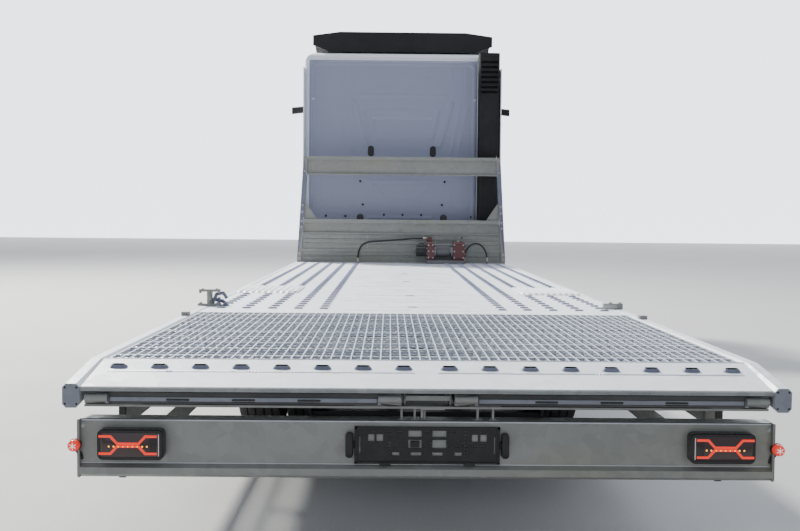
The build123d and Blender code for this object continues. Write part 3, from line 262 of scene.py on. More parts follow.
def zincFinish(name, light, dark, cells=28.0, metal=0.35, rough=(0.32, 0.55), streak=(1.2, 1.2, 0.25),
               greenish=None):
    # hot-dip zinc: crystal spangle, long stains and a dull bloom
    material, tree, shader, coords = nodeTools(name)
    spangle = tree.nodes.new("ShaderNodeTexVoronoi")
    spangle.inputs["Scale"].default_value = cells
    spangle.inputs["Randomness"].default_value = 1.0
    tree.links.new(coords, spangle.inputs["Vector"])
    split = tree.nodes.new("ShaderNodeSeparateColor")
    tree.links.new(spangle.outputs["Color"], split.inputs["Color"])
    crystal = spreadOf(tree, split.outputs["Red"], 0.0, 0.5, 0.0, 1.0)
    bloom = noiseOf(tree, stretched(tree, coords, streak), 2.2, 7.0, 0.62)
    fine = noiseOf(tree, coords, 420.0, 3.0, 0.6)
    base = blendOf(tree, crystal, light, dark)
    base = blendOf(tree, spreadOf(tree, bloom, 0.0, 0.55, 0.45, 0.75), base, dark)
    if greenish:
        stain = noiseOf(tree, stretched(tree, coords, (0.6, 0.6, 1.6)), 1.7, 5.0, 0.6)
        base = blendOf(tree, spreadOf(tree, stain, 0.0, 0.6, 0.5, 0.72), base, greenish)
    tree.links.new(base, shader.inputs["Base Color"])
    gloss = tree.nodes.new("ShaderNodeMath")
    gloss.operation = "ADD"
    tree.links.new(spreadOf(tree, split.outputs["Green"], rough[0], rough[1], 0.0, 1.0), gloss.inputs[0])
    tree.links.new(spreadOf(tree, bloom, -0.04, 0.08), gloss.inputs[1])
    tree.links.new(gloss.outputs[0], shader.inputs["Roughness"])
    bumpOf(tree, shader, fine, 0.1, 0.001)
    shader.inputs["Metallic"].default_value = metal
    return material


def glowing(name, colour, strength):
    material, tree, shader, coords = nodeTools(name)
    fine = noiseOf(tree, coords, 900.0, 2.0)
    bumpOf(tree, shader, fine, 0.1, 0.0005)
    shader.inputs["Base Color"].default_value = (*colour, 1)
    shader.inputs["Emission Color"].default_value = (*colour, 1)
    shader.inputs["Emission Strength"].default_value = strength
    shader.inputs["Roughness"].default_value = 0.2
    return material


def clearFinish(name, colour, rough=0.02, see=1.0):
    material, tree, shader, coords = nodeTools(name)
    smudge = noiseOf(tree, coords, 4.0, 6.0)
    tree.links.new(spreadOf(tree, smudge, rough, rough + 0.05), shader.inputs["Roughness"])
    shader.inputs["Base Color"].default_value = (*colour, 1)
    shader.inputs["Transmission Weight"].default_value = see
    shader.inputs["IOR"].default_value = 1.45
    return material


# bright copy of the zinc for upward faces: painted sunlight
zincTopPaintedSunlit = zincFinish("zincTopPaintedSunlit", (0.8, 0.82, 0.86), (0.62, 0.65, 0.7), 16.0, 0.15, (0.42, 0.62), (1.5, 0.25, 1.0))
zincShade = zincFinish("zincShade", (0.31, 0.315, 0.3), (0.24, 0.245, 0.235), 26.0, 0.4, (0.36, 0.55),
                       (1.0, 1.0, 0.25), (0.29, 0.3, 0.225))
zincRail = zincFinish("zincRail", (0.66, 0.68, 0.72), (0.5, 0.525, 0.57), 22.0, 0.25, (0.38, 0.58))
# dark bluish zinc for the collars round the slots: painted shade
zincLipPaintedShade = zincFinish("zincLipPaintedShade", (0.34, 0.37, 0.5), (0.25, 0.275, 0.39), 60.0, 0.3, (0.4, 0.6))
# darkened bluish zinc for rear-facing caps and the ramp lip: painted shade
zincCapPaintedShade = zincFinish("zincCapPaintedShade", (0.27, 0.285, 0.33), (0.2, 0.215, 0.25), 26.0, 0.3, (0.4, 0.6))
# dark bluish zinc for faces meant to read as in shade: painted shade
zincPostPaintedShade = zincFinish("zincPostPaintedShade", (0.19, 0.21, 0.28), (0.14, 0.155, 0.21), 26.0, 0.3, (0.45, 0.65))
# darker, duller copy of the zinc for under parts and faces turned from the light: painted shade
zincDullPaintedShade = zincFinish("zincDullPaintedShade", (0.36, 0.37, 0.37), (0.22, 0.23, 0.23), 30.0, 0.5, (0.45, 0.65))
zincBars = zincFinish("zincBars", (0.64, 0.68, 0.75), (0.34, 0.375, 0.43), 60.0, 0.35, (0.35, 0.55))
weldBead = surface("weldBead", (0.6, 0.62, 0.66), (0.36, 0.37, 0.38), (0.3, 0.5), 0.5, 30.0, 700.0, 0.4)
boltSteel = surface("boltSteel", (0.42, 0.43, 0.44), (0.22, 0.2, 0.18), (0.28, 0.45), 0.9, 60.0, 900.0, 0.1)
framePaint = surface("framePaint", (0.045, 0.046, 0.05), (0.13, 0.125, 0.115), (0.45, 0.65), 0.0, 2.0, 240.0, 0.12,
                     dirtShare=0.5)
castIron = surface("castIron", (0.09, 0.09, 0.095), (0.16, 0.14, 0.12), (0.55, 0.75), 0.3, 5.0, 260.0, 0.4)
cabWhite = surface("cabWhite", (0.8, 0.83, 0.9), (0.7, 0.73, 0.8), (0.22, 0.34), 0.0, 1.1, 600.0, 0.02, 0.6,
                   dirtShare=0.25)
# the cab's white darkened and tinted blue for the rear wall: painted shade
cabRearPaintedShade = surface("cabRearPaintedShade", (0.285, 0.305, 0.42), (0.245, 0.262, 0.365), (0.38, 0.5), 0.0, 0.9, 500.0, 0.04,
                       0.2, dirtShare=0.35)
grainedBlack = surface("grainedBlack", (0.005, 0.005, 0.007), (0.014, 0.014, 0.016), (0.6, 0.78), 0.0, 4.0, 520.0,
                       0.35)
spoilerBlack = surface("spoilerBlack", (0.006, 0.006, 0.009), (0.018, 0.018, 0.019), (0.5, 0.7), 0.0, 2.2, 420.0, 0.15)
holderBlack = surface("holderBlack", (0.012, 0.012, 0.013), (0.03, 0.03, 0.03), (0.4, 0.55), 0.0, 20.0, 900.0, 0.2)
lampBlack = surface("lampBlack", (0.01, 0.01, 0.011), (0.02, 0.02, 0.02), (0.18, 0.3), 0.0, 20.0, 900.0, 0.05)
lensDark = surface("lensDark", (0.03, 0.005, 0.005), (0.018, 0.004, 0.004), (0.08, 0.16), 0.0, 30.0, 1200.0, 0.05, 0.8)
tyreRubber = surface("tyreRubber", (0.022, 0.022, 0.023), (0.075, 0.07, 0.064), (0.6, 0.8), 0.0, 6.0, 380.0, 0.5,
                     dirtShare=0.55)
hoseRubber = surface("hoseRubber", (0.014, 0.014, 0.016), (0.04, 0.04, 0.042), (0.4, 0.55), 0.0, 30.0, 1500.0, 0.35)
wheelSilver = surface("wheelSilver", (0.62, 0.64, 0.66), (0.34, 0.33, 0.31), (0.3, 0.45), 0.55, 7.0, 500.0, 0.08)
tankAlloy = surface("tankAlloy", (0.66, 0.68, 0.7), (0.46, 0.47, 0.48), (0.22, 0.36), 0.85, 5.0, 300.0, 0.1,
                    stretch=(1, 0.15, 1))
boxPlastic = surface("boxPlastic", (0.035, 0.036, 0.04), (0.075, 0.073, 0.07), (0.5, 0.66), 0.0, 5.0, 460.0, 0.35)
seatCloth = surface("seatCloth", (0.09, 0.1, 0.12), (0.05, 0.055, 0.065), (0.8, 0.95), 0.0, 8.0, 900.0, 0.6, 0.0, 0.4)
# the winch's red darkened towards black: painted shade
winchRedPaintedShade = surface("winchRedPaintedShade", (0.1, 0.012, 0.011), (0.035, 0.01, 0.009), (0.25, 0.42), 0.0, 18.0, 500.0, 0.12, 0.3)
drumSteel = surface("drumSteel", (0.38, 0.38, 0.39), (0.2, 0.18, 0.16), (0.3, 0.5), 0.9, 20.0, 500.0, 0.2)
ropeSteel = surface("ropeSteel", (0.3, 0.3, 0.31), (0.13, 0.12, 0.11), (0.35, 0.5), 0.8, 60.0, 1400.0, 0.6)
chromeTrim = surface("chromeTrim", (0.75, 0.76, 0.78), (0.6, 0.6, 0.62), (0.08, 0.16), 1.0, 20.0, 900.0, 0.03)
lampGlow = glowing("lampGlow", (0.95, 0.04, 0.015), 0.75)
dotGlow = glowing("dotGlow", (1.0, 0.42, 0.04), 2.2)
markerGlow = glowing("markerGlow", (0.9, 0.05, 0.03), 0.5)
starWhite = glowing("starWhite", (0.9, 0.85, 0.8), 0.4)
headlampClear = clearFinish("headlampClear", (0.92, 0.95, 0.97))
screenGlass = clearFinish("screenGlass", (0.3, 0.36, 0.36), 0.01)
print("materials", len(bpy.data.materials))

# camera

view = {"place": (-0.1397, -9.0789, 1.5407), "turn": 0.602, "tip": 2.744, "roll": 0.53,
        "focalPixels": 998.9, "framePixels": 800, "sensor": 36.0}


def setCamera():
    turn, tip, roll = (radians(view[key]) for key in ("turn", "tip", "roll"))
    ahead = Vector((sin(turn) * cos(tip), cos(turn) * cos(tip), -sin(tip)))
    right = Vector((cos(turn), -sin(turn), 0))
    up = right.cross(ahead)
    rolledRight = right * cos(roll) + up * sin(roll)
    rolledUp = up * cos(roll) - right * sin(roll)
    lens = bpy.data.cameras.new("roadCamera")
    lens.sensor_width = view["sensor"]
    lens.sensor_fit = "HORIZONTAL"
    lens.lens = view["focalPixels"] / view["framePixels"] * view["sensor"]
    lens.clip_end = 200
    camera = putInScene("roadCamera", lens)
    for row in range(3):
        for col, vector in enumerate((rolledRight, rolledUp, -ahead, view["place"])):
            camera.matrix_world[row][col] = vector[row]
    bpy.context.scene.camera = camera


setCamera()

# hydraulic hoses

hoses = {
    "hoseLeft": {
        "node": "hose_left", "diameter": 0.02, "length": 0.987, "y": 2.8,
        "route": [(-0.517, 1.014), (-0.517, 1.092), (-0.488, 1.198), (-0.403, 1.252), (-0.244, 1.262),
                  (-0.07, 1.274), (0.1, 1.291), (0.205, 1.298), (0.3, 1.298)],
    },
    "hoseRight": {
        "node": "hose_right", "diameter": 0.018, "length": 0.556, "y": 2.8,
        "route": [(0.752, 1.03), (0.752, 1.106), (0.785, 1.185), (0.845, 1.24),
                  (0.925, 1.24), (0.985, 1.185), (1.02, 1.106), (1.02, 1.03)],
    },
}
for name, hose in hoses.items():
    curve = bpy.data.curves.new(name, "CURVE")
    curve.dimensions = "3D"
    curve.bevel_depth = hose["diameter"] / 2
    curve.bevel_resolution = 6
    curve.resolution_u = 16
    curve.use_fill_caps = True
    spline = curve.splines.new("NURBS")
    spline.points.add(len(hose["route"]) - 1)
    for point, (x, z) in zip(spline.points, hose["route"]):
        point.co = (x, hose["y"], z, 1)
    spline.order_u = 3
    spline.use_endpoint_u = True
    piece = putInScene(name, curve)
    curve.materials.append(hoseRubber)
    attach(piece, "chassis")
    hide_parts(hose["node"])
    startX, startZ = hose["route"][0]
print("hoses", len(hoses))

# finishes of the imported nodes

nodeFinish = {
    "chassis_frame": framePaint, "front_beam": framePaint, "tow_sockets": framePaint, "front_axle": framePaint,
    "rear_axle": framePaint, "driveline": framePaint, "knuckle_left": framePaint, "knuckle_right": framePaint,
    "track_rod": framePaint, "engine_block": castIron, "bed_frame": zincDullPaintedShade, "ramp_guides": zincDullPaintedShade,
    "side_rails": zincRail, "bed_deck": zincTopPaintedSunlit, "rear_grating": zincBars, "tail_plate": zincTopPaintedSunlit,
    "headboard": zincShade, "light_board": zincShade, "side_clamps": zincShade, "side_guards": zincShade,
    "ramp_left": zincShade, "ramp_right": zincShade, "winch": winchRedPaintedShade, "winch_drum": drumSteel,
    "cab_shell": cabWhite, "door_left": cabWhite, "door_right": cabWhite, "cab_grille": grainedBlack,
    "windscreen": screenGlass, "door_glass_left": screenGlass, "door_glass_right": screenGlass,
    "roof_spoiler": spoilerBlack, "air_intake": grainedBlack, "mirror_cams": grainedBlack,
    "front_bumper": grainedBlack, "rear_mudguards": grainedBlack, "front_mudguards": grainedBlack,
    "plate_holder": holderBlack, "dashboard": grainedBlack, "seats": seatCloth, "fuel_tank": tankAlloy,
    "side_boxes": boxPlastic, "rear_lamps": lensDark, "headlamps": headlampClear,
}
for node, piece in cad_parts.items():
    if node.startswith("tyre"):
        finish = tyreRubber
    elif node.startswith("rim"):
        finish = wheelSilver
    elif node in nodeFinish:
        finish = nodeFinish[node]
    else:
        continue
    piece.data.materials.clear()
    piece.data.materials.append(finish)
print("packed nodes dressed", len(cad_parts))

# deck planks with their rows of holes

deck = {
    "half": 1.2147, "rear": -3.465, "front": 2.965, "top": 1.0, "plate": 0.006, "under": 0.9755,
    "rows": [0.526, 0.675, 0.826, 0.979, 1.13], "firstHole": -3.21, "pitch": 0.15, "holes": 40,
    "hole": (0.045, 0.014), "strip": 0.035, "collar": 0.009, "collarRise": 0.0085,
    "coverInner": 0.787, "coverRear": -2.04, "coverFront": -1.42,
}


def slotOutline(width, height, steps=6):
    radius = height / 2
    points = []
    for side, start in ((1, -90), (-1, 90)):
        for step in range(steps + 1):
            angle = radians(start + 180 * step / steps)
            points.append((side * (width / 2 - radius) + radius * cos(angle), radius * sin(angle)))
    return points


def addHoleCell(bm, x, y, top, plate, hole, strip, pitch):
    # a rectangle of plate with one rounded slot and the slot's walls
    outline = slotOutline(*hole)
    count = len(outline)
    points = [(x + px, y + py, top) for px, py in outline]
    points += [(x + px, y + py, top - plate) for px, py in outline]
    corners = [(strip, pitch / 2), (-strip, pitch / 2), (-strip, -pitch / 2), (strip, -pitch / 2)]
    points += [(x + px, y + py, top) for px, py in corners]
    faces = [(index, (index + 1) % count, count + (index + 1) % count, count + index) for index in range(count)]
    half = count // 2
    right, left = list(range(half)), list(range(half, count))
    mid = half // 2
    topRight, topLeft, lowLeft, lowRight = range(2 * count, 2 * count + 4)
    faces += [(lowRight, right[index], right[index + 1]) for index in range(mid)]
    faces += [(topRight, right[index], right[index + 1]) for index in range(mid, half - 1)]
    faces += [(topLeft, left[index], left[index + 1]) for index in range(mid)]
    faces += [(lowLeft, left[index], left[index + 1]) for index in range(mid, half - 1)]
    faces += [(lowRight, topRight, right[mid]), (topLeft, lowLeft, left[mid])]
    faces += [(topRight, topLeft, left[0], right[-1]), (lowLeft, lowRight, right[0], left[-1])]
    addFaces(bm, points, faces)
    # the pressed collar that stands up round the slot and gives grip, in the dark bluish zinc of painted shade
    foot, rise = deck["collar"], deck["collarRise"]
    wide = slotOutline(hole[0] + 2 * foot, hole[1] + 2 * foot)
    lip = slotOutline(hole[0] + 0.003, hole[1] + 0.003)
    addLayers(bm, "Z", [(top + up, shifted(ring, x, y)) for up, ring in
                        ((0.0002, wide), (rise, lip), (rise, outline), (-plate, outline))], False, 1)


def makeDeck():
    bm = bmesh.new()
    top, half, strip = deck["top"], deck["half"], deck["strip"]
    coverSpan = (deck["coverRear"], deck["coverFront"])

    def sheet(x0, x1, y0, y1):
        # plain plate, left out where a wheel cover stands
        if y1 - y0 < 1e-6:
            return
        inCover = min(abs(x0), abs(x1)) >= deck["coverInner"] - 1e-6
        spans = [(y0, y1)]
        if inCover:
            spans = [(y0, min(y1, coverSpan[0])), (max(y0, coverSpan[1]), y1)]
        for low, high in spans:
            if high - low > 1e-6:
                addFaces(bm, [(x0, low, top), (x1, low, top), (x1, high, top), (x0, high, top)], [(0, 1, 2, 3)])

    edges = [0.0]
    for row in deck["rows"]:
        edges += [row - strip, row + strip]
    edges.append(half)
    splits = sorted(edges + [deck["coverInner"]])
    for side in (-1, 1):
        for low, high in zip(splits, splits[1:]):
            middle = (low + high) / 2
            row = next((entry for entry in deck["rows"] if abs(entry - middle) < strip * 0.99), None)
            x = sorted((side * low, side * high))
            if row is None:
                sheet(x[0], x[1], deck["rear"], deck["front"])
                continue
            last = deck["rear"]
            for index in range(deck["holes"]):
                y = deck["firstHole"] + index * deck["pitch"]
                if row > deck["coverInner"] and coverSpan[0] - 0.09 < y < coverSpan[1] + 0.09:
                    continue
                sheet(x[0], x[1], last, y - deck["pitch"] / 2)
                addHoleCell(bm, side * row, y, top, deck["plate"], deck["hole"], strip, deck["pitch"])
                last = y + deck["pitch"] / 2
            sheet(x[0], x[1], last, deck["front"])
    # the folded sides, and the plate underneath in the darker zinc, a sheet of painted shade seen through the holes
    under = deck["under"]
    rear, front = deck["rear"], deck["front"]
    for y in (rear, front):
        addFaces(bm, [(-half, y, top), (half, y, top), (half, y, under), (-half, y, under)], [(0, 1, 2, 3)])
    addFaces(bm, [(-half, rear, under), (half, rear, under), (half, front, under), (-half, front, under)],
             [(0, 1, 2, 3)], 2)
    for x in (-half, half):
        addFaces(bm, [(x, rear, top), (x, front, top), (x, front, under), (x, rear, under)], [(0, 1, 2, 3)])
    piece = makePiece("deckPlanks", bm, "chassis", [zincTopPaintedSunlit, zincLipPaintedShade, zincDullPaintedShade])
    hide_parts("bed_deck")


makeDeck()

covers = {"rise": 0.01, "slope": 0.02, "gap": 0.004, "ribPitch": 0.0427, "ribHeight": 0.005, "corner": 0.05}


def makeCovers():
    # raised plates over the rear wheels, ribbed lengthwise
    bm = bmesh.new()
    inner, outer = deck["coverInner"], deck["half"]
    rear, front = deck["coverRear"] + covers["gap"], deck["coverFront"] - covers["gap"]
    ribs = round((outer - inner) / covers["ribPitch"])
    pitch = (outer - inner) / ribs
    across = []
    for rib in range(ribs):
        start = inner + rib * pitch
        for share, lift in ((0.0, 0), (0.28, 0), (0.38, 1), (0.82, 1), (0.92, 0)):
            across.append((start + share * pitch, lift * covers["ribHeight"]))
    across.append((outer, 0))
    stations = [(rear, 0.0), (rear + covers["slope"], 1.0), (front - covers["slope"], 1.0), (front, 0.0)]
    for side in (-1, 1):
        rings = []
        for y, lift in stations:
            ring = []
            for x, rib in across:
                cut = max(0.0, 1 - (x - inner) / covers["corner"]) * covers["corner"] * 0.6
                shift = cut if y < 0.5 * (rear + front) else -cut
                ring.append((side * x, y + shift, deck["top"] + lift * covers["rise"] + rib * lift))
            rings.append(ring)
        addLoft(bm, rings, closed=False, caps=False)
        low = deck["top"] - 0.02
        first = [rings[index][0] for index in range(4)]
        addFaces(bm, first + [(first[0][0], first[3][1], low), (first[0][0], first[0][1], low)],
                 [(0, 1, 2, 3, 4, 5)])
        for row in (rings[0], rings[3]):
            addLoft(bm, [row, [(x, y, low) for x, y, z in row]], closed=False, caps=False)
    makePiece("wheelCovers", bm, "chassis", zincTopPaintedSunlit)


makeCovers()
print("deck")

# grating, tail plate and rail ends

grating = {"half": 1.205, "rear": -5.29, "front": -3.48, "rods": 24, "rod": 0.0062, "top": 1.0005, "turn": 0.11,
           "flats": 9, "flatHalf": 0.004}


def makeGratingRods():
    # twisted square rods pressed across the bearing bars, and a few plain flats
    bm = bmesh.new()
    length = 2 * grating["half"]
    steps = round(length / grating["turn"] * 8)
    for index in range(grating["rods"]):
        y = grating["rear"] + (grating["front"] - grating["rear"]) * index / (grating["rods"] - 1)
        rings = []
        for step in range(steps + 1):
            x = -grating["half"] + length * step / steps
            twist = tau * (x / grating["turn"]) + index
            rings.append([(x, y + 0.5 * grating["rod"] * cos(twist + quarter * pi / 2),
                           grating["top"] - 0.5 * grating["rod"] * (1 - sin(twist + quarter * pi / 2)))
                          for quarter in range(4)])
        addLoft(bm, rings)
    for index in range(grating["flats"]):
        y = grating["rear"] + (grating["front"] - grating["rear"]) * (index + 0.5) / grating["flats"]
        addBlock(bm, (-grating["half"], grating["half"]), (y - grating["flatHalf"], y + grating["flatHalf"]),
                 (grating["top"] - 0.02, grating["top"] - 0.002))
    makePiece("gratingRods", bm, "chassis", zincBars, smoothAngle=20)


tail = {"edge": -5.61, "rise": -5.305, "low": 0.941, "top": 1.0, "weldLine": -5.447,
        "weldShape": [(-0.005, -0.004), (-0.003, 0.0012), (0.004, 0.0035), (0.008, -0.001)],
        "welds": [(0.043, 0.321), (0.344, 0.619), (0.655, 0.93), (0.953, 1.168)], "half": 1.2147,
        "holes": 8, "holeGap": 0.169, "pitch": 0.15, "holeLine": -5.405}


def tailHeight(y):
    share = (y - tail["edge"]) / (tail["rise"] - tail["edge"])
    return tail["low"] + (tail["top"] - tail["low"]) * min(1.0, max(0.0, share))


def makeTailTrim():
    bm = bmesh.new()
    y = tail["weldLine"]
    z = tailHeight(y)
    for side in (-1, 1):
        for low, high in tail["welds"]:
            addPrism(bm, shifted(tail["weldShape"], y, z), *sorted((side * low, side * high)))
        for (_, high), (low, _) in zip(tail["welds"], tail["welds"][1:]):
            for step in range(3):
                x = side * (high + (low - high) * (step + 0.5) / 3)
                addRod(bm, (x, y - 0.004, z), (x, y + 0.005, z + 0.002), 0.003, 8)
    # joint between the plate and the grating
    addBlock(bm, (-tail["half"], tail["half"]), (tail["rise"] - 0.004, tail["rise"] - 0.001), (0.99, 1.0015))
    makePiece("tailTrim", bm, "chassis", weldBead)
    # pressed collars round the oval holes, the outer walls in dark bluish zinc and the inner walls black: painted
    # shade
    bm = bmesh.new()
    slope = (tail["top"] - tail["low"]) / (tail["rise"] - tail["edge"])
    for index in range(tail["holes"]):
        for side in (-1, 1):
            x = side * (tail["holeGap"] / 2 + index * tail["pitch"])
            walls = (((0.068, 0.033, 0.0003), (0.05, 0.019, 0.0115)),
                     ((0.05, 0.019, 0.0115), (0.045, 0.014, 0.011), (0.045, 0.014, -0.006)))
            for paint, wall in enumerate(walls):
                addLoft(bm, [[(x + px, tail["holeLine"] + py, tailHeight(tail["holeLine"]) + py * slope + up)
                              for px, py in slotOutline(width, height)] for width, height, up in wall],
                        caps=False, paint=paint)
    makePiece("tailCollars", bm, "chassis", [zincPostPaintedShade, lampBlack])
    bm = bmesh.new()
    rim = tail["edge"]
    outline = [(rim - 0.0035, tail["low"] - 0.0145), (rim - 0.0045, tail["low"] - 0.004),
               (rim + 0.004, tail["low"] + 0.0025), (rim + 0.006, tail["low"] + 0.0005),
               (rim, tail["low"] - 0.003), (rim, tail["low"] - 0.0145)]
    addPrism(bm, outline, -tail["half"], tail["half"], "X")
    makePiece("tailLip", bm, "chassis", zincDullPaintedShade, 0.0008)


railEnds = {"x": 1.245, "z": 0.9115, "half": (0.03, 0.0425), "cut": 0.0125, "face": -5.6155, "gauge": 0.004,
            "screw": 0.0042}


def makeRailEnds():
    bm = bmesh.new()
    halfX, halfZ = railEnds["half"]
    cut = railEnds["cut"]
    corners = [(halfX, halfZ - cut), (halfX - cut, halfZ), (-halfX + cut, halfZ), (-halfX, halfZ - cut),
               (-halfX, -halfZ + cut), (-halfX + cut, -halfZ), (halfX - cut, -halfZ), (halfX, -halfZ + cut)]
    for side in (-1, 1):
        outline = [(side * railEnds["x"] + x, railEnds["z"] + z) for x, z in corners]
        addPrism(bm, outline, railEnds["face"] - railEnds["gauge"], railEnds["face"], "Y")
        for x, z in ((0.02, 0.029), (-0.02, 0.029), (0.02, -0.029), (-0.02, -0.029)):
            place = (side * railEnds["x"] + x, railEnds["face"] - railEnds["gauge"], railEnds["z"] + z)
            addRod(bm, place, (place[0], place[1] - 0.0025, place[2]), railEnds["screw"], 12, 0.003, paint=1)
    makePiece("railEndCaps", bm, "chassis", [zincCapPaintedShade, lampBlack], 0.0012)


makeGratingRods()
makeTailTrim()
makeRailEnds()
print("rear edge")

# tail lamps and markers

tailLamp = {"low": 0.929, "high": 1.161, "z": (0.68, 0.789), "back": -5.555, "front": -5.598, "corner": 0.02,
            "stroke": 0.0042, "dot": 0.0032, "dots": 9,
            "guide": [(0.027, 0.78), (0.205, 0.78), (0.305, 0.545), (0.63, 0.545), (0.73, 0.78), (0.905, 0.78)],
            "dotSpan": (0.18, 0.755), "trimAt": 0.932}


def addStroke(bm, path, y, depth, half, paint=0):
    # a flat bar with mitred bends along (X, Z) points, raised towards the rear
    left, right = [], []
    for index, point in enumerate(path):
        here = Vector(point)
        before = Vector(path[max(index - 1, 0)])
        after = Vector(path[min(index + 1, len(path) - 1)])
        runIn = (here - before).normalized() if index else (after - here).normalized()
        runOut = (after - here).normalized() if index < len(path) - 1 else runIn
        middle = (runIn + runOut).normalized()
        normal = Vector((-middle.y, middle.x)) * half / max(0.5, middle.dot(runIn))
        left.append(here + normal)
        right.append(here - normal)
    rings = []
    for a, b in zip(left, right):
        rings.append([(a.x, y, a.y), (b.x, y, b.y), (b.x * 0.9999, y - depth, b.y), (a.x * 0.9999, y - depth, a.y)])
    addLoft(bm, rings, paint=paint)


def makeTailLamp(name, side):
    width = tailLamp["high"] - tailLamp["low"]
    height = tailLamp["z"][1] - tailLamp["z"][0]
    midX, midZ = side * (tailLamp["low"] + tailLamp["high"]) / 2, sum(tailLamp["z"]) / 2
    bm = bmesh.new()
    outline = shifted(roundedBox(width, height, tailLamp["corner"]), midX, midZ)
    inner = shifted(roundedBox(width - 0.006, height - 0.006, tailLamp["corner"] - 0.003), midX, midZ)
    lens = shifted(roundedBox(width - 0.022, height - 0.022, 0.012), midX, midZ)
    front, (lowZ, highZ) = tailLamp["front"], tailLamp["z"]
    addLayers(bm, "Y", [(tailLamp["back"], outline), (front + 0.004, outline), (front, inner), (front, lens),
                        (front + 0.003, lens)])
    addLayers(bm, "Y", [(front + back, shifted(roundedBox(width - inset, height - inset, 0.0115), midX, midZ))
                        for back, inset in ((0.004, 0.0222), (0.001, 0.0222), (-0.0005, 0.026))], paint=1)
    face = front - 0.0004

    def spot(share, up):
        # share runs from the outer to the inner end of the lamp
        outer = tailLamp["high"] - width * share
        return side * outer, lowZ + height * up

    for mirror in (False, True):
        path = [spot(share, 1 - up if mirror else up) for share, up in tailLamp["guide"]]
        addStroke(bm, path, face, 0.0018, tailLamp["stroke"], paint=2)
    for index in range(tailLamp["dots"]):
        low, high = tailLamp["dotSpan"]
        x, z = spot(low + (high - low) * index / (tailLamp["dots"] - 1), 0.45)
        addRod(bm, (x, face, z), (x, face - 0.0022, z), tailLamp["dot"], 12, tailLamp["dot"] * 0.6, paint=3)
    x, _ = spot(tailLamp["trimAt"], 0.5)
    addBlock(bm, (x - 0.0013, x + 0.0013), (face - 0.002, face), (lowZ + 0.016, highZ - 0.016), 4)
    # the dark reflector field with its fine ribs at the inner end
    for rib in range(6):
        x, _ = spot(0.8 + rib * 0.018, 0.5)
        addBlock(bm, (x - 0.0008, x + 0.0008), (face - 0.0012, face), (lowZ + 0.03, highZ - 0.03))
    return makePiece(name, bm, "chassis", [lampBlack, lensDark, lampGlow, dotGlow, chromeTrim])


marker = {"x": 1.247, "y": -5.573, "z": 0.728, "radius": 0.0205, "depth": 0.024}


def makeMarkers():
    bm = bmesh.new()
    for side in (-1, 1):
        x, z = side * marker["x"], marker["z"]
        rings = []
        for share, back in ((1.0, 0.0), (1.0, 0.6), (0.93, 0.8), (0.7, 0.95), (0.35, 1.0), (0.05, 1.02)):
            size = marker["radius"] * share
            rings.append([(x + size * cos(tau * step / 32), marker["y"] - back * marker["depth"],
                           z + size * sin(tau * step / 32)) for step in range(32)])
        addLoft(bm, rings)
        face = marker["y"] - marker["depth"] * 1.02
        for point in range(6):
            angle = tau * point / 6 + pi / 6
            end = (x + 0.013 * cos(angle), z + 0.013 * sin(angle))
            addStroke(bm, [(x, z), end], face, 0.0012, 0.0016, paint=1)
        addRod(bm, (x, marker["y"], z), (x, marker["y"] + 0.012, z), marker["radius"] * 1.08, 32, paint=2)
        addRod(bm, (x, marker["y"] + 0.006, z - 0.008), (side * 1.225, -5.548, z - 0.052), 0.0085, 12, paint=2)
    makePiece("sideMarkers", bm, "chassis", [markerGlow, starWhite, holderBlack])


lamps = [makeTailLamp("tailLampLeft", -1), makeTailLamp("tailLampRight", 1)]
makeMarkers()
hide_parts("rear_lamps")
print("tail lamps")

# plate holder, left bare

holder = {
    "left": -0.2585, "right": 0.2585, "z": (0.665, 0.798), "back": -5.555, "front": -5.566,
    # cut-outs as low X, high X, low Z, high Z
    "cuts": [
        (-0.068, -0.02, 0.761, 0.785), (0.018, 0.068, 0.761, 0.785), (0.018, 0.068, 0.721, 0.752),
        (-0.068, -0.02, 0.721, 0.752), (-0.125, -0.099, 0.694, 0.707), (-0.059, -0.02, 0.694, 0.707),
        (0.018, 0.056, 0.694, 0.707), (0.098, 0.124, 0.694, 0.707), (-0.211, -0.188, 0.745, 0.771),
        (-0.181, -0.157, 0.745, 0.771), (0.159, 0.181, 0.745, 0.771), (0.189, 0.212, 0.745, 0.771),
    ],
    "dashes": [(0.78, 0.0035, 9), (0.7385, 0.0035, 12), (0.7275, 0.003, 14)],
}


def cellPlate(bm, xs, zs, inHole, back, front, paint=0):
    # a flat plate with square-cornered openings, built from the cells between its cut lines
    filled = {(i, j) for i in range(len(xs) - 1) for j in range(len(zs) - 1)
              if not inHole((xs[i] + xs[i + 1]) / 2, (zs[j] + zs[j + 1]) / 2)}
    for i, j in filled:
        x0, x1, z0, z1 = xs[i], xs[i + 1], zs[j], zs[j + 1]
        for y in (back, front):
            addFaces(bm, [(x0, y, z0), (x1, y, z0), (x1, y, z1), (x0, y, z1)], [(0, 1, 2, 3)], paint)
        for near, ends in (((i - 1, j), ((x0, z0), (x0, z1))), ((i + 1, j), ((x1, z0), (x1, z1))),
                           ((i, j - 1), ((x0, z0), (x1, z0))), ((i, j + 1), ((x0, z1), (x1, z1)))):
            if near not in filled:
                (ax, az), (bx, bz) = ends
                addFaces(bm, [(ax, back, az), (bx, back, bz), (bx, front, bz), (ax, front, az)], [(0, 1, 2, 3)], paint)
    bmesh.ops.remove_doubles(bm, verts=bm.verts, dist=0.00001)


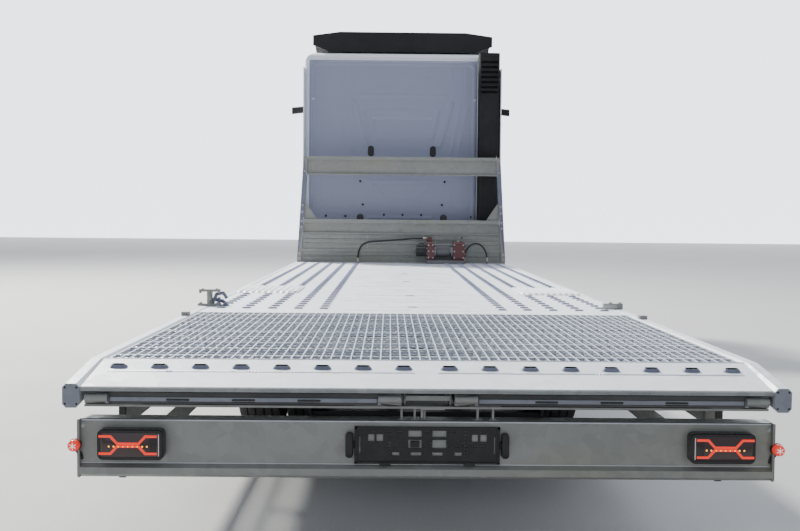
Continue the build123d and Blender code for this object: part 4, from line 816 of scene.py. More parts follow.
def makeHolder():
    holes = list(holder["cuts"])
    for z, height, count in holder["dashes"]:
        for index in range(count):
            x = -0.215 + 0.43 * (index + 0.5) / count
            holes.append((x - 0.011, x + 0.006, z - height / 2, z + height / 2))
    for side in (-1, 1):
        for index in range(8):
            z = 0.69 + index * 0.0125
            holes.append((side * 0.1335 - 0.0018, side * 0.1335 + 0.0018, z, z + 0.006))
        holes.append((side * 0.24 - 0.0025, side * 0.24 + 0.0025, 0.7, 0.762))
    (lowZ, highZ), back, front = holder["z"], holder["back"], holder["front"]
    xs = sorted({round(edge, 5) for hole in holes for edge in hole[:2]} | {holder["left"], holder["right"]})
    zs = sorted({round(edge, 5) for hole in holes for edge in hole[2:]} | {lowZ, highZ})
    bm = bmesh.new()
    cellPlate(bm, xs, zs, lambda x, z: any(a < x < b and c < z < d for a, b, c, d in holes),
              back - 0.003, front + 0.004)
    # raised rim, hinge bar and the block in the lower left window
    for z in (lowZ + 0.004, highZ - 0.004):
        addBlock(bm, (holder["left"], holder["right"]), (front, back), (z - 0.004, z + 0.004))
    for x in (holder["left"] + 0.004, holder["right"] - 0.004):
        addBlock(bm, (x - 0.004, x + 0.004), (front, back), (lowZ, highZ))
    addBlock(bm, (-0.06, -0.028), (front, back - 0.002), (0.726, 0.747))
    for x in (-0.15, 0.15):
        addBlock(bm, (x - 0.02, x + 0.02), (front - 0.003, back), (lowZ - 0.004, lowZ + 0.006))
    for side in (-1, 1):
        outline = shifted(roundedBox(0.027, 0.088, 0.011), side * 0.2765, 0.734)
        rings = [[(side * 0.2765 + (x - side * 0.2765) * grow, y, 0.734 + (z - 0.734) * grow) for x, z in outline]
                 for y, grow in ((back, 1.0), (back - 0.026, 1.0), (back - 0.031, 0.8))]
        addLoft(bm, rings)
        addBlock(bm, sorted((side * 0.256, side * 0.268)), (front, back), (0.722, 0.746))
    piece = makePiece("plateHolder", bm, "chassis", holderBlack, 0.0006)
    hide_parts("plate_holder")


makeHolder()
print("plate holder")

# rear wall of the cab

rearWall = {
    "plane": 3.265, "x": (-1.14, 1.14), "z": (0.985, 3.462), "step": 0.0125, "base": 0.0015,
    "rim": {"x": (-1.11, 0.905), "z": (1.02, 3.446), "corner": 0.12, "width": 0.035},
    "field": {"top": (0.45, 2.854), "low": (0.38, 2.51), "inTop": (0.36, 2.766), "inLow": (0.345, 2.56)},
    "ribs": ((0.5975, 2.94), (0.4555, 2.44)), "seam": 2.986, "intakeLeft": 0.92,
}


def stepDown(distance, soft):
    # 1 inside, 0 outside, with a soft shoulder of the given width
    share = min(1.0, max(0.0, 0.5 - distance / soft))
    return share * share * (3 - 2 * share)


def boxDistance(x, z, midX, midZ, halfX, halfZ, corner):
    dx, dz = abs(x - midX) - halfX + corner, abs(z - midZ) - halfZ + corner
    return hypot(max(dx, 0), max(dz, 0)) + min(max(dx, dz), 0) - corner


def trapezoidDistance(x, z, top, low):
    share = (z - low[1]) / (top[1] - low[1])
    half = low[0] + (top[0] - low[0]) * share
    return max(abs(x) - half, low[1] - z, z - top[1])


def lineDistance(x, z, start, end):
    along = ((x - start[0]) * (end[0] - start[0]) + (z - start[1]) * (end[1] - start[1]))
    along /= (end[0] - start[0]) ** 2 + (end[1] - start[1]) ** 2
    along = min(1.0, max(0.0, along))
    return hypot(x - start[0] - along * (end[0] - start[0]), z - start[1] - along * (end[1] - start[1]))


def wallRelief(x, z):
    # how far the pressed sheet stands out of the wall's plane
    rim, field = rearWall["rim"], rearWall["field"]
    midX, midZ = sum(rim["x"]) / 2, sum(rim["z"]) / 2
    halfX, halfZ = (rim["x"][1] - rim["x"][0]) / 2, (rim["z"][1] - rim["z"][0]) / 2
    edge = boxDistance(x, z, midX, midZ, halfX, halfZ, rim["corner"])
    height = 0.0082 * stepDown(abs(edge + rim["width"] / 2) - rim["width"] / 2 - 0.006, 0.016)
    outer = trapezoidDistance(x, z, field["top"], field["low"])
    inner = trapezoidDistance(x, z, field["inTop"], field["inLow"])
    height = max(height, 0.0085 * stepDown(outer - 0.008, 0.02) * (1 - stepDown(inner + 0.008, 0.02)))
    (topX, topZ), (lowX, lowZ) = rearWall["ribs"]
    rib = lineDistance(abs(x), z, (topX, topZ), (lowX, lowZ))
    height = max(height, 0.0085 * stepDown(rib - 0.034, 0.024))
    # slanting folds outside the ribs, two a side
    for shift, tall in ((0.11, 0.004), (0.2, 0.003)):
        fold = lineDistance(abs(x), z, (topX + shift, 2.9), (lowX + shift + 0.03, 2.3))
        height = max(height, tall * stepDown(fold - 0.012, 0.03))
    # upright folds of the roof part and its ledge over the seam
    for foldX in (0.6, 0.72, 0.78):
        if z > 3.1:
            height = max(height, 0.003 * stepDown(abs(abs(x) - foldX) - 0.006, 0.02) * stepDown(z - 3.38, 0.04))
    ledge = max(abs(x) - 0.54, abs(z - 3.035) - 0.012)
    height = max(height, 0.007 * stepDown(ledge, 0.02))
    band = max(abs(x) - 0.52, abs(z - 3.24) - 0.005)
    height = max(height, 0.0025 * stepDown(band, 0.02))
    # the hollow under the headboard's top beam, and its rings
    for grow, tall in ((0.0, 0.006), (0.06, 0.003)):
        bowl = trapezoidDistance(x, z, (0.42 - grow, 1.99 - grow), (0.16 - grow * 0.5, 1.764 + grow))
        height = max(height, tall * stepDown(abs(bowl) - 0.006, 0.018))
    for side in (-1, 1):
        arch = boxDistance(x, z, side * 0.8, 1.98, 0.2, 0.32, 0.12)
        height = max(height, 0.0035 * stepDown(abs(arch) - 0.006, 0.018))
    bar = max(abs(x) - 0.4, abs(z - 2.4) - 0.006)
    height = max(height, 0.003 * stepDown(bar, 0.02))
    lip = max(abs(x + 0.02) - 0.4, abs(z - 1.535) - 0.02)
    height = max(height, 0.01 * stepDown(lip, 0.03))
    # the seam runs right across as a sunk line
    height *= 1 - 0.75 * stepDown(abs(z - rearWall["seam"]) - 0.004, 0.01)
    return height


def makeRearWall():
    bm = bmesh.new()
    (lowX, highX), (lowZ, highZ) = rearWall["x"], rearWall["z"]
    highX = rearWall["intakeLeft"] if rearWall["intakeLeft"] < highX else highX
    countX = round((highX - lowX) / rearWall["step"])
    countZ = round((highZ - lowZ) / rearWall["step"])
    rings = []
    for j in range(countZ + 1):
        z = lowZ + (highZ - lowZ) * j / countZ
        ring = []
        for i in range(countX + 1):
            x = lowX + (highX - lowX) * i / countX
            edge = min(x - lowX, z - lowZ, highZ - z, highX - x)
            fade = min(1.0, edge / 0.02)
            ring.append((x, rearWall["plane"] - rearWall["base"] * fade - wallRelief(x, z), z))
        rings.append(ring)
    addLoft(bm, rings, closed=False, caps=False)
    # the pressed sheet takes the darkened bluish white of painted shade
    makePiece("cabRearWall", bm, "cab", cabRearPaintedShade, smoothAngle=50)
    # plugs, hand slots and the oval pressings; the oval pressings are drawn as black insets, painted shade
    bm = bmesh.new()
    y = rearWall["plane"]
    for x, z in ((-0.51, 1.985), (0.53, 1.985), (-0.475, 1.7), (0.5, 1.7), (-0.93, 1.555), (-0.69, 1.555),
                 (-0.215, 1.575), (0.015, 1.575), (0.245, 1.575), (0.86, 1.555)):
        addRod(bm, (x, y - 0.001, z), (x, y - 0.01, z), 0.015, 20, 0.012)
    for side in (-1, 1):
        outline = [(side * 0.381 + px, 2.355 + pz) for px, pz in roundedBox(0.072, 0.132, 0.034, 8)]
        addPrism(bm, outline, y - 0.01, y + 0.002, "Y")
    makePiece("rearPlugs", bm, "cab", lampBlack, 0.001)
    bm = bmesh.new()
    for x in (-0.507, 0.52):
        outline = [(x + px, 1.505 + pz) for px, pz in roundedBox(0.085, 0.16, 0.04, 8)]
        small = [(x + 0.6 * px, 1.505 + 0.75 * pz) for px, pz in roundedBox(0.085, 0.16, 0.04, 8)]
        addLayers(bm, "Y", [(y - 0.001, outline), (y - 0.014, small)])
    makePiece("rearBrackets", bm, "cab", framePaint, 0.002)


makeRearWall()
print("cab rear wall")

# tyres with their tread, one piece for each wheel
tyre = {
    "radius": 0.475, "width": 0.315, "rim": 0.2866, "sides": 112, "axle": 0.475,
    "wheels": {
        "front_left": (-1, 4.215, [1.04]), "front_right": (1, 4.215, [1.04]),
        "rear_left": (-1, -1.615, [0.717, 1.062]), "rear_right": (1, -1.615, [0.717, 1.062]),
    },
    "ribEdges": [-0.137, -0.093, -0.081, -0.037, -0.025, 0.025, 0.037, 0.081, 0.093, 0.137],
    "groove": 0.013, "sipe": 0.006,
}


def tyreProfile():
    # (outward, radius, kind) pairs from bead to bead; kind 1 is a tread block, 2 a shoulder
    half, radius, rim = tyre["width"] / 2, tyre["radius"], tyre["rim"]
    wall = [(-0.113, rim), (-0.117, rim + 0.012), (-0.132, rim + 0.024), (-0.147, rim + 0.048),
            (-0.1552, rim + 0.075), (-0.1572, rim + 0.094), (-0.156, rim + 0.112), (-0.1575, rim + 0.116),
            (-0.1555, rim + 0.135), (-0.1515, rim + 0.152), (-0.1495, radius - 0.022)]
    points = [(out, size, 0) for out, size in wall]
    points.append((-half + 0.014, radius - 0.006, 2))
    edges = tyre["ribEdges"]
    for index in range(0, len(edges), 2):
        low, high = edges[index], edges[index + 1]
        points += [(low, radius - (0.001 if index == 0 else 0.0), 1), ((low + high) / 2, radius, 1), (high, radius, 1)]
        if index + 2 < len(edges):
            gap = edges[index + 2]
            points += [(high + 0.002, radius - tyre["groove"], 0), (gap - 0.002, radius - tyre["groove"], 0)]
    points.append((half - 0.014, radius - 0.006, 2))
    points += [(-out, size, 0) for out, size in reversed(wall)]
    return points


def makeTyre(name, side, axleY, centres):
    profile = tyreProfile()
    bm = bmesh.new()

    def ripple(index, step):
        kind = profile[index][2]
        if kind == 1 and (step + index // 5) % 4 == 0:
            return tyre["sipe"]
        return 0.007 if kind == 2 and step % 4 in (0, 1) else 0

    for centreX in centres:
        addLathe(bm, [(out, size) for out, size, kind in profile], (side * centreX, axleY, tyre["axle"]), side,
                 tyre["sides"], ripple=ripple)
    piece = makePiece("tyre" + "".join(word.capitalize() for word in name.split("_")), bm, "wheel_" + name,
                      tyreRubber, smoothAngle=28)
    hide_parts("tyre_" + name)


for name, (side, axleY, centres) in tyre["wheels"].items():
    makeTyre(name, side, axleY, centres)
print("tyres")

# nuts, valve, hub cover and rim rings on each wheel
wheelTrim = {"nuts": 10, "nutCircle": 0.1675, "nut": 0.0165, "valve": 0.205,
             "front": {"face": 1.175, "end": 1.19}, "rear": {"face": 0.918, "end": 1.01}}


def makeWheelTrim(name, side, axleY):
    kind = wheelTrim["front" if name.startswith("front") else "rear"]
    bm = bmesh.new()
    axleZ, face, circle, valve = tyre["axle"], kind["face"], wheelTrim["nutCircle"], wheelTrim["valve"]

    def at(out, radius, angle):
        return (side * out, axleY + radius * cos(angle), axleZ + radius * sin(angle))

    for index in range(wheelTrim["nuts"]):
        angle = tau * (index + 0.5) / wheelTrim["nuts"]
        for low, high, size, sides in ((0.0, 0.006, 1.35, 20), (0.006, 0.026, 1.0, 6), (0.026, 0.042, 0.62, 14)):
            addRod(bm, at(face + low, circle, angle), at(face + high, circle, angle), wheelTrim["nut"] * size, sides,
                   paint=1)
        # the arrow tag that shows a loose nut
        addRod(bm, at(face + 0.012, circle + 0.016, angle + 0.1),
               at(face + 0.013, circle + 0.034, angle + 0.13), 0.005, 4, 0.0015, paint=2)
    # hub cover with its bolts and a stepped rim
    end = kind["end"]
    cover = [(end - 0.018, 0.1075), (end + 0.001, 0.1075), (end + 0.004, 0.104), (end + 0.004, 0.084),
             (end + 0.009, 0.078), (end + 0.01, 0.045), (end + 0.006, 0.038), (end + 0.006, 0.0004)]
    addLathe(bm, cover, (0, axleY, axleZ), side, 40)
    for index in range(8):
        angle = tau * index / 8
        addRod(bm, at(end + 0.003, 0.094, angle), at(end + 0.012, 0.094, angle), 0.0075, 6, paint=1)
    # valve and balance weight
    addRod(bm, at(face - 0.004, valve, 0.31), at(face + 0.05, valve + 0.03, 0.31), 0.0045, 10, paint=1)
    addRod(bm, at(face + 0.05, valve + 0.03, 0.31), at(face + 0.062, valve + 0.037, 0.31), 0.006, 10, paint=2)
    makePiece("wheelTrim" + "".join(word.capitalize() for word in name.split("_")), bm, "wheel_" + name,
              [wheelSilver, boltSteel, nutTag], 0.0006)


nutTag = surface("nutTag", (0.75, 0.62, 0.03), (0.5, 0.4, 0.05), (0.4, 0.5), 0.0, 20.0, 500.0, 0.1)
for name, (side, axleY, centres) in tyre["wheels"].items():
    makeWheelTrim(name, side, axleY)
print("wheel trim")

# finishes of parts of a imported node, chosen by where each face lies


def paintFaces(node, finishes, rule):
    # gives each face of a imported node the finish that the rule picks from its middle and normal
    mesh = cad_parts[node].data
    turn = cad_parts[node].matrix_world
    mesh.materials.clear()
    for finish in finishes:
        mesh.materials.append(finish)
    for face in mesh.polygons:
        face.material_index = rule(turn @ face.center, (turn.to_3x3() @ face.normal).normalized())


housingBlack = surface("housingBlack", (0.02, 0.02, 0.022), (0.06, 0.055, 0.05), (0.3, 0.45), 0.0, 14.0, 500.0, 0.2,
                       0.3)
ironGrey = surface("ironGrey", (0.2, 0.2, 0.21), (0.1, 0.095, 0.09), (0.4, 0.55), 0.6, 12.0, 400.0, 0.35)
brassFitting = surface("brassFitting", (0.55, 0.5, 0.38), (0.3, 0.27, 0.2), (0.25, 0.4), 0.9, 30.0, 700.0, 0.1)


def winchPaint(middle, normal):
    if middle.x < 0.299 and middle.z > 1.05:
        return 1
    if middle.z < 1.047 or abs(middle.x - 0.493) < 0.1095 and middle.z > 1.2:
        return 2
    return 0


paintFaces("winch", [winchRedPaintedShade, housingBlack, ironGrey], winchPaint)
# rear faces of the upper posts take the dark bluish zinc: painted shade
paintFaces("headboard", [zincShade, zincPostPaintedShade],
           lambda middle, normal: 1 if abs(middle.x) > 1.15 and middle.z > 1.33 and normal.y < -0.3 else 0)
# faces turned upward take the sunlit zinc, all others the darker zinc: painted light and shade
paintFaces("tail_plate", [zincTopPaintedSunlit, zincDullPaintedShade],
           lambda middle, normal: 1 if normal.z < 0.3 else 0)
paintFaces("ramp_guides", [zincDullPaintedShade, zincShade], lambda middle, normal: 1 if middle.y < -5.5 else 0)


def rampPaint(middle, normal):
    # the rear border is painted dark, painted shade, but for the blocks round the hook sockets
    if middle.y > -5.53 or normal.z > 0.5:
        return 0
    return 2 if min(abs(abs(middle.x) - end) for end in (0.135, 1.162)) < 0.045 else 1


for rampNode in ("ramp_left", "ramp_right"):
    paintFaces(rampNode, [zincDullPaintedShade, framePaint, zincShade], rampPaint)


def cabPaint(middle, normal):
    # the inner faces of the shell are trim, the floor pan and hinge arms are frame colour
    inside = abs(middle.x) < 1.163 and 3.303 < middle.y < 5.478 and middle.z < 3.52
    if middle.z < 0.975 and normal.z < -0.5:
        return 2
    return 1 if inside else 0


cabTrim = surface("cabTrim", (0.3, 0.3, 0.31), (0.22, 0.22, 0.23), (0.6, 0.75), 0.0, 4.0, 420.0, 0.3)
paintFaces("cab_shell", [cabWhite, cabTrim, framePaint], cabPaint)
for doorNode in ("door_left", "door_right"):
    paintFaces(doorNode, [cabWhite, cabTrim],
               lambda middle, normal: 1 if abs(middle.x) < 1.166 else 0)
print("parts painted")

# hose ends: a crimped sleeve, a hexagon nut and, on the deck, a gland
fittings = [
    # name, place of the joint, direction along the hose, hose radius
    ("fittingDeckLeft", (-0.517, 2.8, 1.014), (0, 0, 1), 0.01),
    ("fittingWinchLeft", (0.3, 2.8, 1.298), (-1, 0, 0), 0.01),
    ("fittingWinchRight", (0.752, 2.8, 1.03), (0, 0, 1), 0.009),
    ("fittingDeckRight", (1.02, 2.8, 1.03), (0, 0, 1), 0.009),
]


def makeFitting(name, place, way, radius):
    bm = bmesh.new()
    place, way = Vector(place), Vector(way)
    for low, high, size, sides in ((0.0, 0.012, 1.75, 6), (0.012, 0.017, 1.3, 20), (0.017, 0.045, 1.45, 24)):
        addRod(bm, place + way * low, place + way * high, radius * size, sides)
    for ring in range(4):
        start = place + way * (0.021 + ring * 0.006)
        addRod(bm, start, start + way * 0.002, radius * 1.53, 24, paint=1)
    makePiece(name, bm, "chassis", [brassFitting, boltSteel], 0.0004)


for name, place, way, radius in fittings:
    makeFitting(name, place, way, radius)
print("hose fittings", len(fittings))

winchParts = {"x": (0.383, 0.603), "y": 2.715, "z": 1.15, "core": 0.05, "rope": 0.0055,
              "housings": [(0.3, 0.383), (0.603, 0.739)], "half": (0.1, 0.113), "layers": 2}


def makeWinchDetails():
    bm = bmesh.new()
    y, z = winchParts["y"], winchParts["z"]
    # bolts on the outer cheeks and on the rear face of each housing
    for low, high in winchParts["housings"]:
        for x, way in ((low, -1), (high, 1)):
            if way < 0 and x > 0.5 or way > 0 and x < 0.5:
                continue
            for index in range(8):
                angle = tau * (index + 0.5) / 8
                addBolt(bm, (x, y + 0.083 * cos(angle), z + 0.083 * sin(angle)), (way, 0, 0), 0.007, 0.008, 1)
    for low, high in winchParts["housings"]:
        for x in (low + 0.016, high - 0.016):
            for up in (-0.075, 0.0, 0.075):
                addBolt(bm, (x, y - winchParts["half"][0], z + up), (0, -1, 0), 0.006, 0.006, 1)
    # the gearbox lid
    addLathe(bm, [(0.0, 0.07), (0.01, 0.07), (0.014, 0.064), (0.014, 0.03), (0.019, 0.026), (0.019, 0.0004)],
             (0.739, y, z), 1, 36)
    makePiece("winchLids", bm, "chassis", [winchRedPaintedShade, boltSteel], 0.0008)
    # motor with its ribs, end cap and cable box
    bm = bmesh.new()
    profile = [(0.0, 0.0625)]
    for rib in range(9):
        start = 0.012 + rib * 0.0115
        profile += [(start, 0.0625), (start + 0.001, 0.0655), (start + 0.006, 0.0655), (start + 0.007, 0.0625)]
    profile += [(0.122, 0.0625), (0.124, 0.06), (0.131, 0.056), (0.133, 0.03), (0.133, 0.0004)]
    addLathe(bm, profile, (0.299, y, z), -1, 40)
    for index in range(4):
        angle = tau * (index + 0.5) / 4
        addBolt(bm, (0.166, y + 0.043 * cos(angle), z + 0.043 * sin(angle)), (-1, 0, 0), 0.005, 0.005, 1)
    outline = shifted(roundedBox(0.07, 0.034, 0.008), 0.235, z + 0.078)
    addPrism(bm, outline, y - 0.03, y + 0.03, "Y")
    makePiece("winchMotor", bm, "chassis", [housingBlack, boltSteel], 0.0008)
    # clutch lever
    bm = bmesh.new()
    addRod(bm, (0.665, y - 0.05, z + 0.112), (0.665, y - 0.05, z + 0.126), 0.014, 20)
    addRod(bm, (0.665, y - 0.05, z + 0.122), (0.7, y - 0.085, z + 0.158), 0.005, 12)
    addRod(bm, (0.7, y - 0.085, z + 0.158), (0.706, y - 0.091, z + 0.164), 0.012, 18, 0.009, paint=1)
    makePiece("clutchLever", bm, "chassis", [boltSteel, holderBlack], 0.0006)


def makeRopeLays():
    # rope wound on the drum: lays side by side, a second layer in the grooves of the first
    bm = bmesh.new()
    y, z, rope = winchParts["y"], winchParts["z"], winchParts["rope"]
    low, high = winchParts["x"][0] + 0.0155, winchParts["x"][1] - 0.0155
    for layer in range(winchParts["layers"]):
        radius = winchParts["core"] + rope + layer * rope * 1.74
        start = low + rope + layer * rope
        turns = int((high - low - 2 * rope * (1 + layer)) / (2 * rope)) - layer * 2
        rings = []
        steps = 28
        for step in range(turns * steps + 1):
            angle = tau * step / steps
            x = start + 2 * rope * step / steps
            ring = []
            for side in range(8):
                around = tau * side / 8
                size = radius + rope * cos(around)
                ring.append((x + rope * sin(around), y + size * cos(angle), z + size * sin(angle)))
            rings.append(ring)
        addLoft(bm, rings)
    # the rope's end, clamped to the flange
    addRod(bm, (high - 0.014, y - 0.02, z + radius + rope * 1.2), (high + 0.001, y + 0.03, z + radius + rope * 1.2),
           rope * 1.6, 14, paint=1)
    makePiece("ropeLays", bm, "drum", [ropeSteel, boltSteel], 0.0, smoothAngle=70)


makeWinchDetails()
makeRopeLays()
print("winch")

# headboard: bolts, welds and the folded rims of its sheets
head = {"rear": 2.885, "halfBottom": 1.25, "halfTop": 1.175, "low": 1.000, "top": 2.264, "post": 0.05,
        "beam": (2.046, 2.264), "mid": (1.471, 1.515), "folds": (1.148, 1.343), "stiffeners": (1.075, 1.225, 1.275),
        "bolts": (1.045, 1.105, 1.42, 1.49, 1.6, 1.68), "beamBolts": (2.085, 2.225), "panelSeam": 0.41}


def headHalf(z):
    share = (z - head["low"]) / (head["top"] - head["low"])
    return head["halfBottom"] + (head["halfTop"] - head["halfBottom"]) * share


def makeHeadboardTrim():
    bm = bmesh.new()
    y = head["rear"]
    for side in (-1, 1):
        # corner welds where beams meet the posts
        for z in (head["beam"][0], head["beam"][1] - 0.004, *head["mid"]):
            x = side * (headHalf(z) - head["post"])
            addRod(bm, (x, y - 0.0005, z - 0.02), (x, y - 0.0005, z + 0.02), 0.0035, 10, paint=1)
        # two rows of bolts at the foot and at the gusset
        for z in head["bolts"]:
            x = side * (headHalf(z) - 0.025)
            addBolt(bm, (x, y, z), (0, -1, 0), 0.0095, 0.008, 2)
        for z in head["beamBolts"]:
            addBolt(bm, (side * (headHalf(z) - 0.025), y, z), (0, -1, 0), 0.008, 0.007, 2)
    # lips round the sunk fields
    for low, high in ((1.015, head["folds"][0] - 0.012), (head["folds"][0] + 0.012, head["folds"][1] - 0.012),
                      (head["folds"][1] + 0.012, 1.471), (head["beam"][0] + 0.012, head["top"] - 0.04)):
        for z in (low, high):
            x = headHalf(z) - head["post"] - 0.001
            addRod(bm, (-x, y + 0.0015, z), (x, y + 0.0015, z), 0.0022, 8)
    # stiffening folds across the lower sheet, with the seams between its three panels
    for z in head["stiffeners"]:
        x = headHalf(z) - head["post"] - 0.03
        depth = 0.03 if z < head["folds"][0] else 0.022
        outline = [(y + depth + 0.001, z - 0.012), (y + depth - 0.006, z - 0.004), (y + depth - 0.006, z + 0.004),
                   (y + depth + 0.001, z + 0.012)]
        addPrism(bm, outline, -x, x, "X")
    for x in (-head["panelSeam"], head["panelSeam"]):
        addBlock(bm, (x - 0.0015, x + 0.0015), (y + 0.018, y + 0.023),
                 (head["folds"][0] + 0.014, head["folds"][1] - 0.014), 1)
    makePiece("headboardTrim", bm, "chassis", [zincShade, weldBead, boltSteel], 0.0006)


makeHeadboardTrim()

clamp = {"x": -1.245, "y": -3.065, "z": 1.0, "twin": 1.245, "lugs": -3.655,
         # bent bars of the second hook: their points and radius
         "bars": (([(-1.205, -3.065, 1.012), (-1.18, -3.062, 1.07), (-1.14, -3.06, 1.078), (-1.118, -3.06, 1.045)],
                   0.01), ([(-1.205, -3.05, 1.04), (-1.15, -3.045, 1.028), (-1.12, -3.045, 1.011)], 0.011))}


def makeClampTrim():
    # swing latch on the left rail with its pins, its folded twin and the small lugs
    bm = bmesh.new()
    x, y, z = clamp["x"], clamp["y"], clamp["z"]
    addRod(bm, (x + 0.025, y - 0.026, z + 0.045), (x + 0.025, y + 0.026, z + 0.045), 0.011, 20, paint=1)
    addRod(bm, (x + 0.025, y - 0.02, z + 0.014), (x + 0.025, y - 0.02, z + 0.098), 0.0075, 14)
    for foot, top in ((x - 0.03, x - 0.018), (x + 0.075, x + 0.066)):
        addBolt(bm, (foot, y, z + 0.014), (0, 0, 1), 0.0085, 0.008, 1)
        addBolt(bm, (top, y, z + 0.1), (0, 0, 1), 0.007, 0.006, 1)
    # hooked ends of the latch
    for px in (x - 0.032, x + 0.082):
        addBlock(bm, sorted((px - 0.005, px + 0.005)), (y - 0.018, y + 0.018), (z + 0.076, z + 0.101))
    x = clamp["twin"]
    addRod(bm, (x - 0.075, y - 0.024, z + 0.02), (x - 0.075, y + 0.024, z + 0.02), 0.01, 20, paint=1)
    for px in (x - 0.045, x + 0.01):
        addBolt(bm, (px, y, z + 0.034), (0, 0, 1), 0.0085, 0.008, 1)
    addBlock(bm, (x - 0.088, x - 0.01), (y - 0.0215, y - 0.0205), (z + 0.004, z + 0.03), paint=1)
    for side in (-1, 1):
        lugX = side * 1.245
        addRod(bm, (lugX - side * 0.021, clamp["lugs"], z + 0.011), (lugX + side * 0.024, clamp["lugs"], z + 0.011),
               0.006, 14, paint=1)
    makePiece("clampTrim", bm, "chassis", [zincShade, boltSteel], 0.0012)


makeClampTrim()
print("headboard and clamps")

# front and flanks of the cab
cab = {"half": 1.2, "front": 5.515, "corner": 0.35}
doorTrim = {"y": (4.23, 5.15), "z": (1.18, 2.64), "handleY": 4.345, "handleZ": 1.64}


def addBall(bm, place, radius, sides, paint=0):
    # a ball of rows from pole to pole, always built in the same order
    rows = 6
    points = []
    for row in range(1, rows):
        wide, up = radius * sin(pi * row / rows), radius * cos(pi * row / rows)
        points += [(place[0] - wide * sin(tau * col / sides), place[1] + wide * cos(tau * col / sides), place[2] + up)
                   for col in range(sides)]
    top, foot = len(points), len(points) + 1
    points += [(place[0], place[1], place[2] + radius), (place[0], place[1], place[2] - radius)]
    faces = []
    for col in range(sides):
        after = (col + 1) % sides
        faces.append((top, col, after))
        for start in range(0, (rows - 2) * sides, sides):
            faces.append((start + col, start + sides + col, start + sides + after, start + after))
        faces.append((foot, (rows - 2) * sides + after, (rows - 2) * sides + col))
    addFaces(bm, points, faces, paint)


def addTube(bm, points, radius, sides=10, paint=0):
    # a round bar through a list of points, with a ball at each bend
    for start, end in zip(points, points[1:]):
        addRod(bm, start, end, radius, sides, paint=paint)
    for point in points[1:-1]:
        addBall(bm, point, radius, sides, paint)


def makeDoorTrim(side, name):
    # handle in its recess with a chrome disc beside it, and the window seal
    body = name + "_door"
    word = name.capitalize()
    x = side * cab["half"]
    bm = bmesh.new()
    y, z = doorTrim["handleY"], doorTrim["handleZ"]
    pocket = shifted(roundedBox(0.185, 0.075, 0.03, 6), y, z)
    small = shifted(roundedBox(0.165, 0.055, 0.024, 6), y, z)
    addLayers(bm, "X", [(x + side * out, ring) for out, ring in
                        ((0.0005, pocket), (0.003, pocket), (0.003, small), (0.0008, small))])
    grip = [(x + side * out, y + py, z + pz) for out, py, pz in
            ((0.004, -0.07, 0.006), (0.02, -0.052, 0.008), (0.024, 0.0, 0.01), (0.02, 0.052, 0.008),
             (0.004, 0.07, 0.006))]
    addTube(bm, grip, 0.0085, 12)
    addRod(bm, (x, y + 0.115, z + 0.005), (x + side * 0.005, y + 0.115, z + 0.005), 0.013, 20, paint=1)
    makePiece("doorHandle" + word, bm, body, [grainedBlack, chromeTrim], 0.0008)
    # rubber seal round the window
    bm = bmesh.new()
    low, high = doorTrim["z"][0] + 0.62, doorTrim["z"][1] - 0.07
    near, far = doorTrim["y"][0] + 0.07, doorTrim["y"][1] - 0.07
    outline = [(near, low), (far, low), (far, 1.86), (far - 0.09, high), (near, high)]
    soft = cornered(outline, 0.04, 6)
    middle = (sum(p[0] for p in soft) / len(soft), sum(p[1] for p in soft) / len(soft))
    rings = []
    for out, grow in ((0.0005, 1.028), (0.005, 1.022), (0.0055, 1.0), (0.002, 0.975), (-0.006, 0.972)):
        rings.append([(x + side * out, middle[0] + (py - middle[0]) * grow, middle[1] + (pz - middle[1]) * grow)
                      for py, pz in soft])
    addLoft(bm, rings, caps=False)
    makePiece("windowSeal" + word, bm, body, hoseRubber)


def cornered(outline, radius, steps=5):
    # rounds the corners of an outline
    points = []
    count = len(outline)
    for index in range(count):
        before, here, after = (Vector((*outline[(index + shift) % count], 0)) for shift in (-1, 0, 1))
        runIn, runOut = (before - here).normalized(), (after - here).normalized()
        angle = runIn.angle(runOut)
        reach = min(radius / tan(angle / 2), 0.45 * (before - here).length, 0.45 * (after - here).length)
        start, end = here + runIn * reach, here + runOut * reach
        for step in range(steps + 1):
            share = step / steps
            a, b = start.lerp(here, share), here.lerp(end, share)
            points.append(tuple(a.lerp(b, share))[:2])
    return points


for side, name in ((-1, "left"), (1, "right")):
    makeDoorTrim(side, name)


flank = {"rails": (4.195, 5.195), "railLine": ((0, 1.33), (0.035, 1.36), (0.035, 2.02), (0, 2.05)),
         "hatchY": (3.4, 4.12), "hatchZ": (1.28, 1.86), "latch": (3.5, 1.8), "rearLamp": (3.33, 3.28),
         "sillLamp": (3.9, 1.135), "lines": ((1.985, 3.33, 4.2), (2.72, 3.33, 5.02), (3.02, 3.33, 4.93))}


